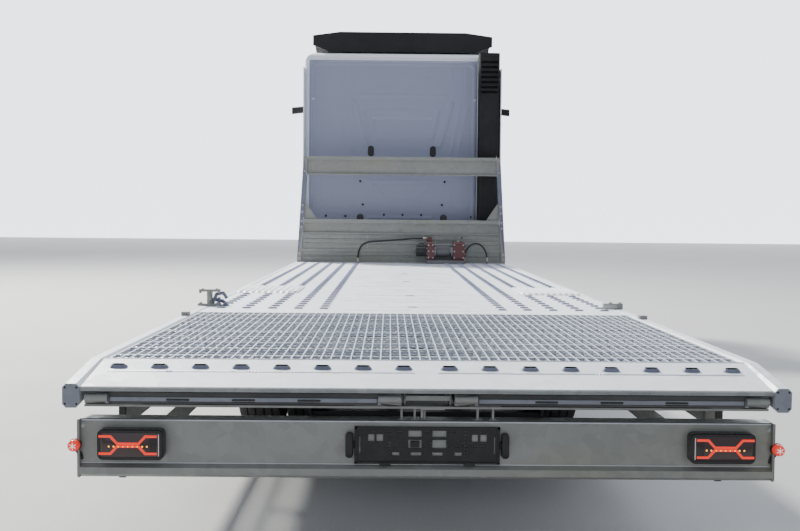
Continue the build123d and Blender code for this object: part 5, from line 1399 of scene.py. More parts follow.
def makeCabSides():
    # grab rails, a hatch with its latch, marker lamps and pressed lines
    for side, word in ((-1, "Left"), (1, "Right")):
        x = side * cab["half"]
        bm = bmesh.new()
        for y in flank["rails"]:
            addTube(bm, [(x + side * out, y, z) for out, z in flank["railLine"]], 0.011, 12)
        makePiece("grabRails" + word, bm, "cab", grainedBlack)
        bm = bmesh.new()
        # narrow storage hatch and its latch behind the door
        (near, far), (low, high) = flank["hatchY"], flank["hatchZ"]
        hatch, inner = (cornered([(near + inset, low + inset), (far - inset, low + inset),
                                  (far - inset, high - inset), (near + inset, high - inset)], soft)
                        for inset, soft in ((0, 0.05), (0.008, 0.045)))
        addLayers(bm, "X", [(x + side * out, ring) for out, ring in
                            ((-0.002, hatch), (0.0015, hatch), (0.0015, inner), (0.005, inner))])
        makePiece("hatch" + word, bm, "cab", cabWhite, 0.0015)
        bm = bmesh.new()
        outline = shifted(roundedBox(0.09, 0.04, 0.012), *flank["latch"])
        addPrism(bm, outline, *sorted((x + side * 0.004, x + side * 0.009)), "X")
        # side marker lamps on the upper rear corner and along the sill
        lamp = shifted(roundedBox(0.12, 0.045, 0.018), *flank["rearLamp"])
        addPrism(bm, lamp, *sorted((x - side * 0.002, x + side * 0.016)), "X")
        lamp = shifted(roundedBox(0.13, 0.034, 0.014), *flank["sillLamp"])
        addPrism(bm, lamp, *sorted((x - side * 0.002, x + side * 0.012)), "X", 1)
        makePiece("cabMarkers" + word, bm, "cab", [lampBlack, amberLens], 0.001)
        # deep pressed line along the flank and the roof's rain gutter
        bm = bmesh.new()
        for z, low, high in flank["lines"]:
            addTube(bm, [(x + side * 0.0005, low, z), (x + side * 0.0005, high, z)], 0.004, 10)
        makePiece("flankLines" + word, bm, "cab", cabWhite)


amberLens = surface("amberLens", (0.72, 0.22, 0.012), (0.5, 0.15, 0.01), (0.1, 0.2), 0.0, 40.0, 1500.0, 0.08, 0.7)
makeCabSides()
print("cab flanks")

face = {"slats": 7, "cells": 44, "x": 0.82, "y": 5.47, "pitch": 0.082, "first": 0.945, "slot": 0.056}


def makeGrille():
    # honeycomb behind the slats, the slats and two upright ribs
    bm = bmesh.new()
    for index in range(face["slats"]):
        low = face["first"] + index * face["pitch"]
        for cell in range(face["cells"] + 1):
            x = -face["x"] + 0.045 + (2 * face["x"] - 0.09) * cell / face["cells"]
            lean = 0.008 if (cell + index) % 2 else -0.008
            addPrism(bm, [(x - 0.0022 - lean, low), (x + 0.0022 - lean, low), (x + 0.0022 + lean, low + face["slot"]),
                          (x - 0.0022 + lean, low + face["slot"])], face["y"] + 0.012, face["y"] + 0.019, "Y")
    makePiece("grilleMesh", bm, "cab", lampBlack)
    bm = bmesh.new()
    for index in range(face["slats"]):
        z = face["first"] + index * face["pitch"] - 0.012
        outline = [(face["y"] + 0.031, z - 0.011), (face["y"] + 0.041, z - 0.006), (face["y"] + 0.043, z + 0.004),
                   (face["y"] + 0.036, z + 0.009), (face["y"] + 0.03, z + 0.009)]
        addPrism(bm, outline, -face["x"] + 0.03, face["x"] - 0.03, "X")
    for x in (-0.3, 0.3):
        addBlock(bm, (x - 0.008, x + 0.008), (face["y"] + 0.02, face["y"] + 0.036), (0.93, 1.53), paint=1)
    makePiece("grilleSlats", bm, "cab", [grainedBlack, lampBlack], 0.0015)


makeGrille()

screen = {"corners": [(-1.09, 1.8), (1.09, 1.8), (1.04, 2.66), (-1.04, 2.66)],
          "low": (5.5, 1.75), "high": (5.29, 2.76), "middle": 2.23,
          "wipers": ((-0.72, -0.1), (0.02, 0.64), (0.7, 1.0))}  # foot and tip of each wiper
visor = {"half": 0.98, "steps": 24, "bow": 0.05, "lamps": (-0.86, -0.34, 0.34, 0.86), "lampY": 5.05, "lampZ": 3.125}


def screenY(z):
    share = (z - screen["low"][1]) / (screen["high"][1] - screen["low"][1])
    return screen["low"][0] + (screen["high"][0] - screen["low"][0]) * share


def frontY(x, z):
    # depth of the cab's front at a place, with its rounded plan corners
    flat = screenY(max(z, 1.75)) if z > 1.75 else 5.5 + (1.75 - z) / 0.96 * 0.015
    over = abs(x) - (cab["half"] - cab["corner"])
    plan = cab["front"] if over <= 0 else cab["front"] - cab["corner"] + sqrt(max(0.0, cab["corner"] ** 2 - over ** 2))
    return min(flat, plan)


def makeScreenTrim():
    bm = bmesh.new()
    soft = cornered(screen["corners"], 0.07, 7)
    dense = []
    for index, (x, z) in enumerate(soft):
        nextX, nextZ = soft[(index + 1) % len(soft)]
        pieces = max(1, int(hypot(nextX - x, nextZ - z) / 0.05))
        dense += [(x + (nextX - x) * step / pieces, z + (nextZ - z) * step / pieces) for step in range(pieces)]
    rings = []
    mid = screen["middle"]
    for out, grow in ((0, 1.016), (0.006, 1.012), (0.006, 0.992), (-0.01, 0.986)):
        grown = [(x * grow, mid + (z - mid) * grow) for x, z in dense]
        rings.append([(x, frontY(x, z) + out, z) for x, z in grown])
    addLoft(bm, rings, caps=False)
    makePiece("screenSeal", bm, "cab", hoseRubber)
    # wipers: spindle, arm and blade
    bm = bmesh.new()
    for x, tip in screen["wipers"]:
        base = Vector((x, frontY(x, 1.765) + 0.012, 1.765))
        end = Vector((tip, frontY(tip, 1.95) + 0.02, 1.98 if tip < 0.9 else 1.93))
        addRod(bm, base - Vector((0, 0.02, 0)), base + Vector((0, 0.012, 0)), 0.016, 20)
        addTube(bm, [base, base.lerp(end, 0.35) + Vector((0, 0.012, 0)), end], 0.0065, 10)
        start = Vector((tip - 0.42, frontY(tip - 0.42, 1.88) + 0.012, 1.86))
        stop = Vector((min(tip + 0.3, 1.0), frontY(min(tip + 0.3, 1.0), 2.02) + 0.012, 2.04 if tip < 0.9 else 1.95))
        addRod(bm, start, stop, 0.0055, 8)
    makePiece("wipers", bm, "cab", grainedBlack)
    # sun visor and the roof marker lamps
    bm = bmesh.new()
    rings = []
    for step in range(visor["steps"] + 1):
        x = visor["half"] * (2 * step / visor["steps"] - 1)
        y = frontY(x, 2.74) - 0.02
        bow = visor["bow"] * (1 - (x / visor["half"]) ** 2)
        rings.append([(x, y + 0.005, 2.8), (x, y + 0.055 + bow, 2.745), (x, y + 0.095 + bow, 2.672),
                      (x, y + 0.088 + bow, 2.668), (x, y + 0.045 + bow, 2.738), (x, y, 2.786)])
    addLoft(bm, rings)
    makePiece("sunVisor", bm, "cab", lampBlack, 0.0015)
    bm = bmesh.new()
    for x in visor["lamps"]:
        outline = shifted(roundedBox(0.11, 0.04, 0.018), x, visor["lampZ"])
        addPrism(bm, outline, visor["lampY"], visor["lampY"] + 0.052, "Y")
    makePiece("roofMarkers", bm, "cab", amberLens, 0.002)


makeScreenTrim()
print("cab front")

bumper = {"half": 1.245, "front": 5.615, "radius": 0.33, "lines": ((0.335, 0.012), (0.492, 0.008), (0.674, 0.01)),
          "steps": 60, "meshRows": 7, "meshPitch": 0.012, "meshZ": 0.374, "meshColumns": 54, "meshHalf": 0.64,
          "fogX": 0.78, "fogZ": 0.41, "plateHalf": 0.262, "plateZ": (0.56, 0.674)}


def bumperY(x, inset=0.0):
    over = abs(x) - (bumper["half"] - bumper["radius"])
    radius = bumper["radius"]
    return bumper["front"] - inset - (0 if over <= 0 else radius - sqrt(max(0.0, radius ** 2 - over ** 2)))


def makeBumperTrim():
    # lower lip, fog lamps, bare plate field and the mesh of the air inlet
    bm = bmesh.new()
    for z, high in bumper["lines"]:
        rings = []
        for step in range(bumper["steps"] + 1):
            x = -1.235 + 2.47 * step / bumper["steps"]
            y = bumperY(x) - 0.002
            rings.append([(x, y - 0.002, z - high), (x, y + 0.0018, z - high * 0.6), (x, y + 0.0018, z + high * 0.6),
                          (x, y - 0.002, z + high)])
        addLoft(bm, rings)
    makePiece("bumperLines", bm, "chassis", grainedBlack)
    bm = bmesh.new()
    for row in range(bumper["meshRows"]):
        z = bumper["meshZ"] + row * bumper["meshPitch"]
        addBlock(bm, (-0.648, 0.648), (5.585, 5.592), (z, z + 0.0035))
    for col in range(bumper["meshColumns"]):
        x = bumper["meshHalf"] * (2 * col / (bumper["meshColumns"] - 1) - 1)
        addBlock(bm, (x - 0.002, x + 0.002), (5.586, 5.591), (0.371, 0.449))
    makePiece("inletMesh", bm, "chassis", lampBlack)
    bm = bmesh.new()
    for side in (-1, 1):
        x = side * bumper["fogX"]
        outline = shifted(roundedBox(0.2, 0.085, 0.03, 6), x, bumper["fogZ"])
        inner = shifted(roundedBox(0.176, 0.062, 0.022, 6), x, bumper["fogZ"])
        y = bumper["front"]
        addLayers(bm, "Y", [(y - 0.004, outline), (y + 0.0005, outline), (y + 0.0005, inner), (y - 0.003, inner)])
        for shift, radius, sides, paint in ((-0.04, 0.026, 28, 1), (0.045, 0.018, 24, 2)):
            lampX, z = x + side * shift, bumper["fogZ"]
            addRod(bm, (lampX, y - 0.003, z), (lampX, y - 0.0005, z), radius, sides, paint=paint)
    y, half = bumper["front"], bumper["plateHalf"]
    addBlock(bm, (-half, half), (y - 0.0005, y), bumper["plateZ"])
    makePiece("fogLamps", bm, "chassis", [grainedBlack, chromeTrim, amberLens], 0.0008)


makeBumperTrim()


headlamp = {"barrels": ((0.862, 0.04), (0.965, 0.036)), "barrelZ": 0.588, "strip": (0.815, 0.9, 0.98, 1.05),
            "stripZ": 0.632, "dots": 5, "dotX": 1.02, "dotPitch": 0.018, "dotZ": 0.57}


def makeHeadlampInsides():
    # two lens barrels, a light strip and the indicator, seen through the clear cover
    bm = bmesh.new()
    for side in (-1, 1):
        for x, size in headlamp["barrels"]:
            y = bumperY(x) - 0.016
            lathe = [(0.0, size), (0.01, size), (0.012, size * 0.86), (0.004, size * 0.8), (0.004, size * 0.72),
                     (0.01, size * 0.5), (0.013, size * 0.02)]
            addTurned(bm, lathe, (side * x, y - 0.02, headlamp["barrelZ"]), 1, 32, 1)
        strip = [(side * x, bumperY(x) - 0.008, headlamp["stripZ"]) for x in headlamp["strip"]]
        for start, end in zip(strip, strip[1:]):
            addRod(bm, start, end, 0.0045, 8, paint=2)
        for index in range(headlamp["dots"]):
            x, z = side * (headlamp["dotX"] + index * headlamp["dotPitch"]), headlamp["dotZ"]
            addRod(bm, (x, bumperY(x) - 0.022, z), (x, bumperY(x) - 0.01, z), 0.008, 12, paint=3)
    makePiece("headlampInsides", bm, "chassis", [lampBlack, chromeTrim, starWhite, amberLens])


makeHeadlampInsides()
print("bumper")

# tank, boxes and guards along the chassis
tank = {"y": (0.4, 1.65), "x": (0.47, 1.16), "z": (0.33, 0.85), "corner": 0.09, "strapIn": 0.22, "strapHalf": 0.025,
        "beads": (0.72, 1.02, 1.33), "cap": (1.5, 0.735)}
chests = {
    # name: side, Y range, Z range, corner, doors
    "boxFrontRight": (1, (1.85, 2.75), (0.34, 0.85), 0.06, 1),
    "boxRearLeft": (-1, (0.4, 1.5), (0.38, 0.85), 0.02, 2),
    "boxFrontLeft": (-1, (1.7, 2.5), (0.38, 0.85), 0.03, 1),
}


def chestRing(side, z, corner, grow, y):
    midX, midZ = side * (tank["x"][0] + tank["x"][1]) / 2, (z[0] + z[1]) / 2
    outline = roundedBox(tank["x"][1] - tank["x"][0] + 2 * grow, z[1] - z[0] + 2 * grow, corner + grow, 8)
    return [(midX + px, y, midZ + pz) for px, pz in outline]


def makeTankTrim():
    # straps with their tightening bolts, rolled ends and beads, and the filler cap
    bm = bmesh.new()
    wide, outer, top = tank["strapHalf"], tank["x"][1], tank["z"][1]

    def bands(y, layers, paint=0):
        rings = [chestRing(1, tank["z"], tank["corner"], grow, y + shift) for shift, grow in layers]
        addLoft(bm, rings, caps=False, paint=paint)

    for y in (tank["y"][0] + tank["strapIn"], tank["y"][1] - tank["strapIn"]):
        bands(y, ((-wide, 0.0), (-wide, 0.003), (wide, 0.003), (wide, 0.0)), 1)
        addRod(bm, (outer - 0.02, y, top - 0.012), (outer + 0.012, y, top - 0.055), 0.009, 12, paint=1)
    for y in tank["y"]:
        way = 1 if y > 1 else -1
        rolled = ((0.0, 0.02), (0.004, 0.018), (0.004, 0.006), (-0.004, -0.001))
        bands(y, [(-way * back, grow) for grow, back in rolled])
    for y in tank["beads"]:
        bands(y, ((-0.006, 0.0), (0.0, 0.0022), (0.006, 0.0)))
    y, z = tank["cap"]
    lid = [(0.0, 0.062), (0.016, 0.062), (0.02, 0.056), (0.03, 0.054), (0.034, 0.046), (0.034, 0.0004)]
    addLathe(bm, lid, (outer + 0.0015, y, z), 1, 32, 2)
    addRod(bm, (outer - 0.03, y, z + 0.005), (outer + 0.006, y, z), 0.068, 32, 0.064)
    makePiece("tankTrim", bm, "chassis", [tankAlloy, boltSteel, lampBlack], 0.0008)


def makeChestTrim(name, side, y, z, corner, doors):
    # doors with latches, hinges and stiffening ribs on the outer side of a box
    bm = bmesh.new()
    x = side * tank["x"][1]
    lowZ, highZ = z
    span = (y[1] - y[0]) / doors
    for door in range(doors):
        low, high = y[0] + door * span + 0.018, y[0] + (door + 1) * span - 0.018
        outer, inner = (cornered([(low + inset, lowZ + 0.03 + inset), (high - inset, lowZ + 0.03 + inset),
                                  (high - inset, highZ - 0.03 - inset), (low + inset, highZ - 0.03 - inset)], soft)
                        for inset, soft in ((0.0, 0.03), (0.02, 0.02)))
        addLayers(bm, "X", [(x + side * out, ring) for out, ring in
                            ((-0.001, outer), (0.009, outer), (0.009, inner), (0.005, inner))])
        for latchY in (low + 0.14, high - 0.14):
            outline = shifted(roundedBox(0.075, 0.05, 0.01), latchY, highZ - 0.085)
            addPrism(bm, outline, *sorted((x + side * 0.004, x + side * 0.014)), "X", 1)
            pin = highZ - 0.082
            addRod(bm, (x + side * 0.013, latchY, pin), (x + side * 0.02, latchY, pin), 0.01, 16, paint=1)
        hinge = (x + side * 0.008, lowZ + 0.034)
        for hingeY in (low + 0.08, (low + high) / 2, high - 0.08):
            addRod(bm, (hinge[0], hingeY - 0.03, hinge[1]), (hinge[0], hingeY + 0.03, hinge[1]), 0.007, 12, paint=1)
        for rib in range(1, 4):
            ribZ = lowZ + (highZ - lowZ) * rib / 4.6 + 0.01
            addBlock(bm, sorted((x + side * 0.004, x + side * 0.0085)), (low + 0.05, high - 0.05),
                     (ribZ - 0.006, ribZ + 0.006))
    makePiece(name, bm, "chassis", [boxPlastic, boltSteel], 0.001)


makeTankTrim()
for name, (side, y, z, corner, doors) in chests.items():
    makeChestTrim(name, side, y, z, corner, doors)

# mud flaps and side guards
flaps = {"y": -2.165, "spans": ((0.6, 0.88), (0.905, 1.205)), "z": (0.27, 0.67), "bow": 0.018, "ribs": 9}
guards = {"x": (1.232, 1.257), "spans": [(-4.95, -2.25), (-0.95, 0.25)], "bars": [(0.45, 0.56), (0.66, 0.77)],
          "grooves": (0.03, 0.08), "boltsIn": 0.18, "boltsUp": (0.028, 0.082),
          "lamps": (-4.55, -3.1, -0.55, 1.05, 2.35), "lampZ": 0.885}


def makeGuardTrim():
    # caps, grooves and bolts on the side guards
    bm = bmesh.new()
    inner, outer = guards["x"]
    for side in (-1, 1):
        for span in guards["spans"]:
            for z in guards["bars"]:
                for y, way in ((span[0], -1), (span[1], 1)):
                    addBlock(bm, sorted((side * (inner - 0.001), side * (outer + 0.0015))),
                             sorted((y - way * 0.012, y + way * 0.004)), (z[0] - 0.0015, z[1] + 0.0015), 1)
                for line in guards["grooves"]:
                    addBlock(bm, sorted((side * outer, side * (outer + 0.0012))), (span[0] + 0.01, span[1] - 0.01),
                             (z[0] + line - 0.002, z[0] + line + 0.002))
                for y in (span[0] + guards["boltsIn"], span[1] - guards["boltsIn"]):
                    for up in guards["boltsUp"]:
                        addBolt(bm, (side * (outer + 0.001), y, z[0] + up), (side, 0, 0), 0.007, 0.006, 2)
        # amber marker lamps under the rails, each on a small bracket
        for y in guards["lamps"]:
            outline = shifted(roundedBox(0.115, 0.042, 0.014), y, guards["lampZ"])
            addPrism(bm, outline, *sorted((side * 1.243, side * 1.262)), "X", paint=3)
            addBlock(bm, sorted((side * 1.236, side * 1.243)), (y - 0.03, y + 0.03), (0.868, 0.92), paint=2)
    makePiece("guardTrim", bm, "chassis", [zincShade, lampBlack, boltSteel, amberLens], 0.001)
    # mud flaps behind the rear wheels, with ribs, on a bar
    bm = bmesh.new()
    for side in (-1, 1):
        for low, high in flaps["spans"]:
            rings = []
            for step in range(9):
                z = flaps["z"][0] + (flaps["z"][1] - flaps["z"][0]) * step / 8
                y = flaps["y"] - flaps["bow"] * sin(pi * (1 - step / 8) * 0.5)
                rings.append([(side * low, y, z), (side * high, y, z), (side * high, y - 0.006, z),
                              (side * low, y - 0.006, z)])
            addLoft(bm, rings)
            for rib in range(flaps["ribs"]):
                x = side * (low + (high - low) * (rib + 0.5) / flaps["ribs"])
                addBlock(bm, (x - 0.004, x + 0.004), (flaps["y"] - 0.025, flaps["y"] - 0.013), (0.3, 0.6))
        addRod(bm, (side * 0.43, flaps["y"], 0.668), (side * 1.208, flaps["y"], 0.668), 0.012, 14, paint=1)
    makePiece("mudFlaps", bm, "chassis", [hoseRubber, boltSteel], 0.0012)


makeGuardTrim()
print("flanks of the chassis")

under = {"frameX": 0.43, "bolts": 58, "boltPitch": 0.18, "clips": 24, "clipPitch": 0.42,
         "airTanks": ((-3.05, -0.2), (-3.05, 0.2), (-0.2, -0.22), (-0.2, 0.22)), "airZ": 0.665,
         "frontAxle": 4.215, "rearAxle": -1.615, "leaves": 3, "leafHalf": 0.62, "leafStep": 0.17, "leafZ": 0.487,
         "bellows": 0.12, "coverBolts": 14, "coverZ": 0.475}


def makeFrameFittings():
    # bolt rows, pipes and their clips on the chassis rails
    bm = bmesh.new()
    x = under["frameX"]
    for side in (-1, 1):
        for index in range(under["bolts"]):
            y = -5.3 + index * under["boltPitch"]
            for z in (0.64, 0.825):
                addRod(bm, (side * x, y, z), (side * (x + 0.009), y, z), 0.01, 6, paint=1)
        addTube(bm, [(side * (x + 0.014), -5.1, 0.735), (side * (x + 0.014), 4.9, 0.735)], 0.009, 8, paint=2)
        addTube(bm, [(side * (x + 0.012), -5.1, 0.76), (side * (x + 0.012), 4.9, 0.76)], 0.005, 8, paint=2)
        for index in range(under["clips"]):
            y = -5.0 + index * under["clipPitch"]
            addBlock(bm, sorted((side * x, side * (x + 0.026))), (y - 0.008, y + 0.008), (0.722, 0.77), paint=1)
    makePiece("frameFittings", bm, "chassis", [framePaint, boltSteel, hoseRubber])


def makeAirTanks():
    # compressed-air tanks with domed ends between the rails, in their straps
    bm = bmesh.new()
    for y, x in under["airTanks"]:
        profile = [(0.0, 0.0004), (0.012, 0.055), (0.04, 0.098), (0.075, 0.12), (0.62, 0.12), (0.655, 0.098),
                   (0.683, 0.055), (0.695, 0.0004)]
        addTurned(bm, profile, (x, y, under["airZ"]))
        for strap in (0.17, 0.52):
            ring = [[(x + 0.123 * cos(tau * step / 28), y + strap + shift,
                      0.665 + 0.123 * sin(tau * step / 28)) for step in range(28)] for shift in (-0.015, 0.015)]
            addLoft(bm, ring, caps=False, paint=1)
            addBlock(bm, (x - 0.012, x + 0.012), (y + strap - 0.015, y + strap + 0.015), (0.785, 0.858), paint=1)
    makePiece("airTanks", bm, "chassis", [framePaint, boltSteel])


def makeAxleFittings():
    # leaf springs with their clamps, dampers, brake chambers, bellows ribs and the differential's cover
    bm = bmesh.new()
    for side in (-1, 1):
        y = under["frontAxle"]
        for leaf in range(under["leaves"]):
            half = under["leafHalf"] - leaf * under["leafStep"]
            runs = [half * (step / 6 - 1) for step in range(13)]
            points = [(y + run, under["leafZ"] - leaf * 0.016 + 0.062 * (run / 0.7) ** 2) for run in runs]
            outline = points + [(py, pz - 0.013) for py, pz in reversed(points)]
            addPrism(bm, outline, *sorted((side * 0.36, side * 0.44)), "X")
        for clampY in (y - 0.045, y + 0.045):
            addTube(bm, [(side * 0.347, clampY, 0.375), (side * 0.347, clampY, 0.552), (side * 0.453, clampY, 0.552),
                         (side * 0.453, clampY, 0.375)], 0.01, 10, paint=1)
        for dampY, tilt, low in ((y + 0.26, 0.1, 0.435), (under["rearAxle"] + 0.25, 0.12, 0.4)):
            addRod(bm, (side * 0.5, dampY, low), (side * 0.478, dampY + tilt * 0.55, low + 0.19), 0.036, 20, paint=2)
            addRod(bm, (side * 0.48, dampY + tilt * 0.5, low + 0.17), (side * 0.462, dampY + tilt, 0.8), 0.024, 20,
                   paint=2)
            for z, dy in ((low, 0.0), (0.8, tilt)):
                addRod(bm, (side * 0.428, dampY + dy, z), (side * 0.545, dampY + dy, z), 0.022, 16, paint=2)
        for chamberY, z, way in ((under["rearAxle"] + 0.13, 0.56, 1), (under["frontAxle"] - 0.11, 0.53, -1)):
            bx = 0.5 if way > 0 else 0.6
            profile = [(0.0, 0.0004), (0.0, 0.052), (0.018, 0.072), (0.05, 0.078), (0.054, 0.088), (0.064, 0.088),
                       (0.068, 0.078), (0.11, 0.07), (0.128, 0.045), (0.13, 0.0004)]
            addTurned(bm, profile, (side * bx, chamberY, z), way, 24)
            addRod(bm, (side * bx, chamberY - way * 0.09, z - 0.02), (side * bx, chamberY, z), 0.012, 12, paint=1)
        bellowsY, wide = under["rearAxle"] - 0.4, under["bellows"]
        for ring in range(3):
            z = 0.445 + ring * 0.052
            torus = [[(side * 0.39 + (wide + 0.009 * cos(around)) * cos(angle),
                       bellowsY + (wide + 0.009 * cos(around)) * sin(angle), z + 0.02 * sin(around))
                      for around in (tau * part / 8 for part in range(8))]
                     for angle in (tau * step / 32 for step in range(33))]
            addLoft(bm, torus, caps=False, paint=3)
    # differential cover and flange bolts
    for index in range(under["coverBolts"]):
        angle = tau * index / under["coverBolts"]
        place = (0.145 * cos(angle), under["rearAxle"] - 0.12, under["coverZ"] + 0.145 * sin(angle))
        addBolt(bm, place, (0, -1, 0), 0.009, 0.009, 1)
    cover = [(-0.095, 0.172), (-0.125, 0.168), (-0.128, 0.12), (-0.178, 0.06), (-0.19, 0.001)]
    addTurned(bm, cover, (0, under["rearAxle"], under["coverZ"]), 1, 36)
    makePiece("axleFittings", bm, "chassis", [framePaint, boltSteel, castIron, hoseRubber])


makeFrameFittings()
makeAirTanks()
makeAxleFittings()
print("undercarriage")

ramps = {"x": (0.095, 1.202), "y": (-5.59, -3.31), "top": 0.92, "border": 0.06, "rungs": 9,
         "band": (0.889, 0.9035), "teeth": 26, "sockets": 0.04, "handSlots": (-0.23, 0.0, 0.23)}


def makeRampTrim(side, name):
    # teeth on the rungs, the folded lip with its hook sockets and hand slots
    body = name + "_ramp"
    bm = bmesh.new()
    low, high = ramps["x"]
    length = ramps["y"][1] - ramps["y"][0]
    opening = (length - ramps["border"] * (ramps["rungs"] + 1)) / ramps["rungs"]
    for index in range(ramps["rungs"] + 1):
        y = ramps["y"][0] + index * (opening + ramps["border"])
        for tooth in range(ramps["teeth"]):
            x = low + 0.025 + (high - low - 0.05) * (tooth + 0.5) / ramps["teeth"]
            if index == 0 and tooth % 2:
                continue
            addPrism(bm, [(side * x - 0.01, ramps["top"]), (side * x + 0.01, ramps["top"]),
                          (side * x + 0.004, ramps["top"] + 0.009), (side * x - 0.004, ramps["top"] + 0.009)],
                     y + 0.02, y + 0.032, "Y")
    makePiece("rampTeeth" + name.capitalize(), bm, body, zincDullPaintedShade)
    # the light folded band at the rear edge, in the bluish zinc of painted shade, its hand slots as black insets of
    # painted shade, and the blocks round the hook sockets
    bm = bmesh.new()
    y, band = ramps["y"][0], ramps["band"]
    addBlock(bm, sorted((side * (low + 0.085), side * (high - 0.085))), (y - 0.003, y + 0.001), band)
    for end in (low + ramps["sockets"], high - ramps["sockets"]):
        for shift in (-0.036, 0.036):
            addBlock(bm, (side * end + shift - 0.006, side * end + shift + 0.006), (y - 0.006, y + 0.001),
                     (band[0] - 0.008, band[1] + 0.001))
    middle = side * (low + high) / 2
    for shift in ramps["handSlots"]:
        outline = shifted(slotOutline(0.082, 0.0075), middle + shift, band[0] + 0.0062)
        addPrism(bm, outline, y - 0.0042, y - 0.002, "Y", paint=1)
    makePiece("rampLip" + name.capitalize(), bm, body, [zincCapPaintedShade, lampBlack], 0.0006)


makeRampTrim(-1, "left")
makeRampTrim(1, "right")


boardFit = {"y": -5.555, "half": 1.229, "boltX": 1.222, "boltZ": (0.796, 0.628), "top": 0.82,
            "brackets": (-0.092, -0.045, -0.01, 0.18, 0.235), "catch": ((-0.02, 0.862), (0.062, 0.862)),
            # bands on the face: depth, Z range and surface; a light band under a dark one along the top fold, a
            # painted highlight under painted shade, and a lower light band, one more painted highlight
            "highlightShadeStrips": ((0.0016, (0.8125, 0.817), 2), (0.0012, (0.8172, 0.82), 3), (0.0012, (0.6605, 0.6635), 2)),
            "cable": ((1.045, 0.01, 0.7), (1.02, 0.03, 0.66), (0.6, 0.034, 0.655), (0.32, 0.034, 0.66))}


def makeBoardTrim():
    # bolts, end plates, catch brackets on top of the light board and its cable
    bm = bmesh.new()
    y, top = boardFit["y"], boardFit["top"]
    for side in (-1, 1):
        for z in boardFit["boltZ"]:
            addBolt(bm, (side * boardFit["boltX"], y - 0.0002, z), (0, -1, 0), 0.0065, 0.006, 1)
        addBlock(bm, sorted((side * 1.236, side * 1.2385)), (y - 0.018, y + 0.06), (0.614, 0.818))
    # upright brackets seen in the gap over the board
    for x in boardFit["brackets"]:
        addBlock(bm, (x - 0.004, x + 0.004), (y + 0.012, y + 0.045), (top, top + 0.052))
        addBlock(bm, (x - 0.014, x + 0.014), (y + 0.01, y + 0.046), (top, top + 0.004))
    # pull-out catch in the middle, with its handle
    (x, z), (farX, farZ) = boardFit["catch"]
    addRod(bm, (x, y + 0.004, z), (farX, y + 0.004, farZ), 0.006, 14, paint=1)
    addTube(bm, [(x, y + 0.004, z), (x, y - 0.006, z - 0.027), (x, y + 0.003, z - 0.04)], 0.005, 10, paint=1)
    # thin bands of painted highlight and painted shade across the board's face
    for depth, strip, paint in boardFit["highlightShadeStrips"]:
        addBlock(bm, (-boardFit["half"], boardFit["half"]), (y - depth, y), strip, paint)
    makePiece("boardTrim", bm, "chassis", [zincShade, boltSteel, zincRail, framePaint], 0.0006)
    bm = bmesh.new()
    for side in (-1, 1):
        addTube(bm, [(side * x, y + back, z) for x, back, z in boardFit["cable"]], 0.006, 8)
    makePiece("boardCable", bm, "chassis", hoseRubber)


makeBoardTrim()
print("ramps and board")

# seats and bunk inside the cab, swollen by a cloth run
seat = {"x": 0.61, "half": 0.25, "y": (4.3, 4.8), "z": (1.43, 1.57), "backHalf": 0.22, "backY": (4.18, 4.3),
        "backZ": (1.48, 2.04), "restZ": (2.062, 2.25), "restHalf": 0.135, "floor": 1.17, "start": 0.014,
        "cap": 0.026, "voxel": 0.011, "pressure": 4.0}
bunk = {"x": (-1.1, 1.1), "y": (3.325, 3.965), "z": (1.6, 1.73), "base": (1.17, 1.602), "voxel": 0.017,
        "lids": ((-1.08, -0.37), (-0.35, 0.35), (0.37, 1.08)), "lidZ": (1.2, 1.57), "seams": (0.37, 0.74)}


def swell(piece, voxel, cap, floorZ=None):
    # remesh, blow up with cloth pressure and limit each point's travel
    scene = bpy.context.scene
    remesh = piece.modifiers.new("even", "REMESH")
    remesh.mode = "VOXEL"
    remesh.voxel_size = voxel
    graph = bpy.context.evaluated_depsgraph_get()
    even = bpy.data.meshes.new_from_object(piece.evaluated_get(graph))
    piece.modifiers.clear()
    piece.data = even
    start = [vertex.co.copy() for vertex in even.vertices]
    cloth = piece.modifiers.new("puff", "CLOTH")
    cloth.settings.quality = 4
    cloth.settings.mass = 0.25
    cloth.settings.tension_stiffness = 12
    cloth.settings.compression_stiffness = 12
    cloth.settings.use_pressure = True
    cloth.settings.uniform_pressure_force = seat["pressure"]
    cloth.settings.effector_weights.gravity = 0
    cloth.point_cache.frame_start = 1
    cloth.point_cache.frame_end = 20
    for frameNumber in range(1, 21):
        scene.frame_set(frameNumber)
    graph = bpy.context.evaluated_depsgraph_get()
    puffed = bpy.data.meshes.new_from_object(piece.evaluated_get(graph))
    piece.modifiers.clear()
    scene.frame_set(1)
    piece.data = puffed
    for vertex, first in zip(piece.data.vertices, start):
        move = vertex.co - first
        if move.length > cap:
            vertex.co = first + move * (cap / move.length)
        if floorZ is not None:
            vertex.co.z = max(vertex.co.z, floorZ)


def press(piece, lines, depth, width):
    # sewn channels: each line is a function of a point that gives the distance to the seam
    for vertex in piece.data.vertices:
        for distance in lines:
            gap = distance(vertex.co)
            if gap < 3 * width:
                vertex.co -= vertex.normal * depth * exp(-(gap / width) ** 2)


def makeCushion(name, x, y, z, voxel, cap, lines=(), floorZ=None, depth=0.009, width=0.01):
    inset = seat["start"]
    bm = bmesh.new()
    addBlock(bm, (x[0] + inset, x[1] - inset), (y[0] + inset, y[1] - inset), (z[0] + inset * 0.6, z[1] - inset))
    bmesh.ops.bevel(bm, geom=bm.edges[:], offset=0.028, segments=3, profile=0.6, affect="EDGES")
    piece = putInScene(name, meshFrom(name, bm))
    swell(piece, voxel, cap, floorZ)
    press(piece, lines, depth, width)
    piece.data.materials.clear()
    piece.data.materials.append(seatCloth)
    for polygon in piece.data.polygons:
        polygon.use_smooth = True
    soft = piece.modifiers.new("round", "SUBSURF")
    soft.levels = soft.render_levels = 1
    graph = bpy.context.evaluated_depsgraph_get()
    rounded = bpy.data.meshes.new_from_object(piece.evaluated_get(graph))
    piece.modifiers.clear()
    piece.data = rounded
    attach(piece, "cab")
    return piece


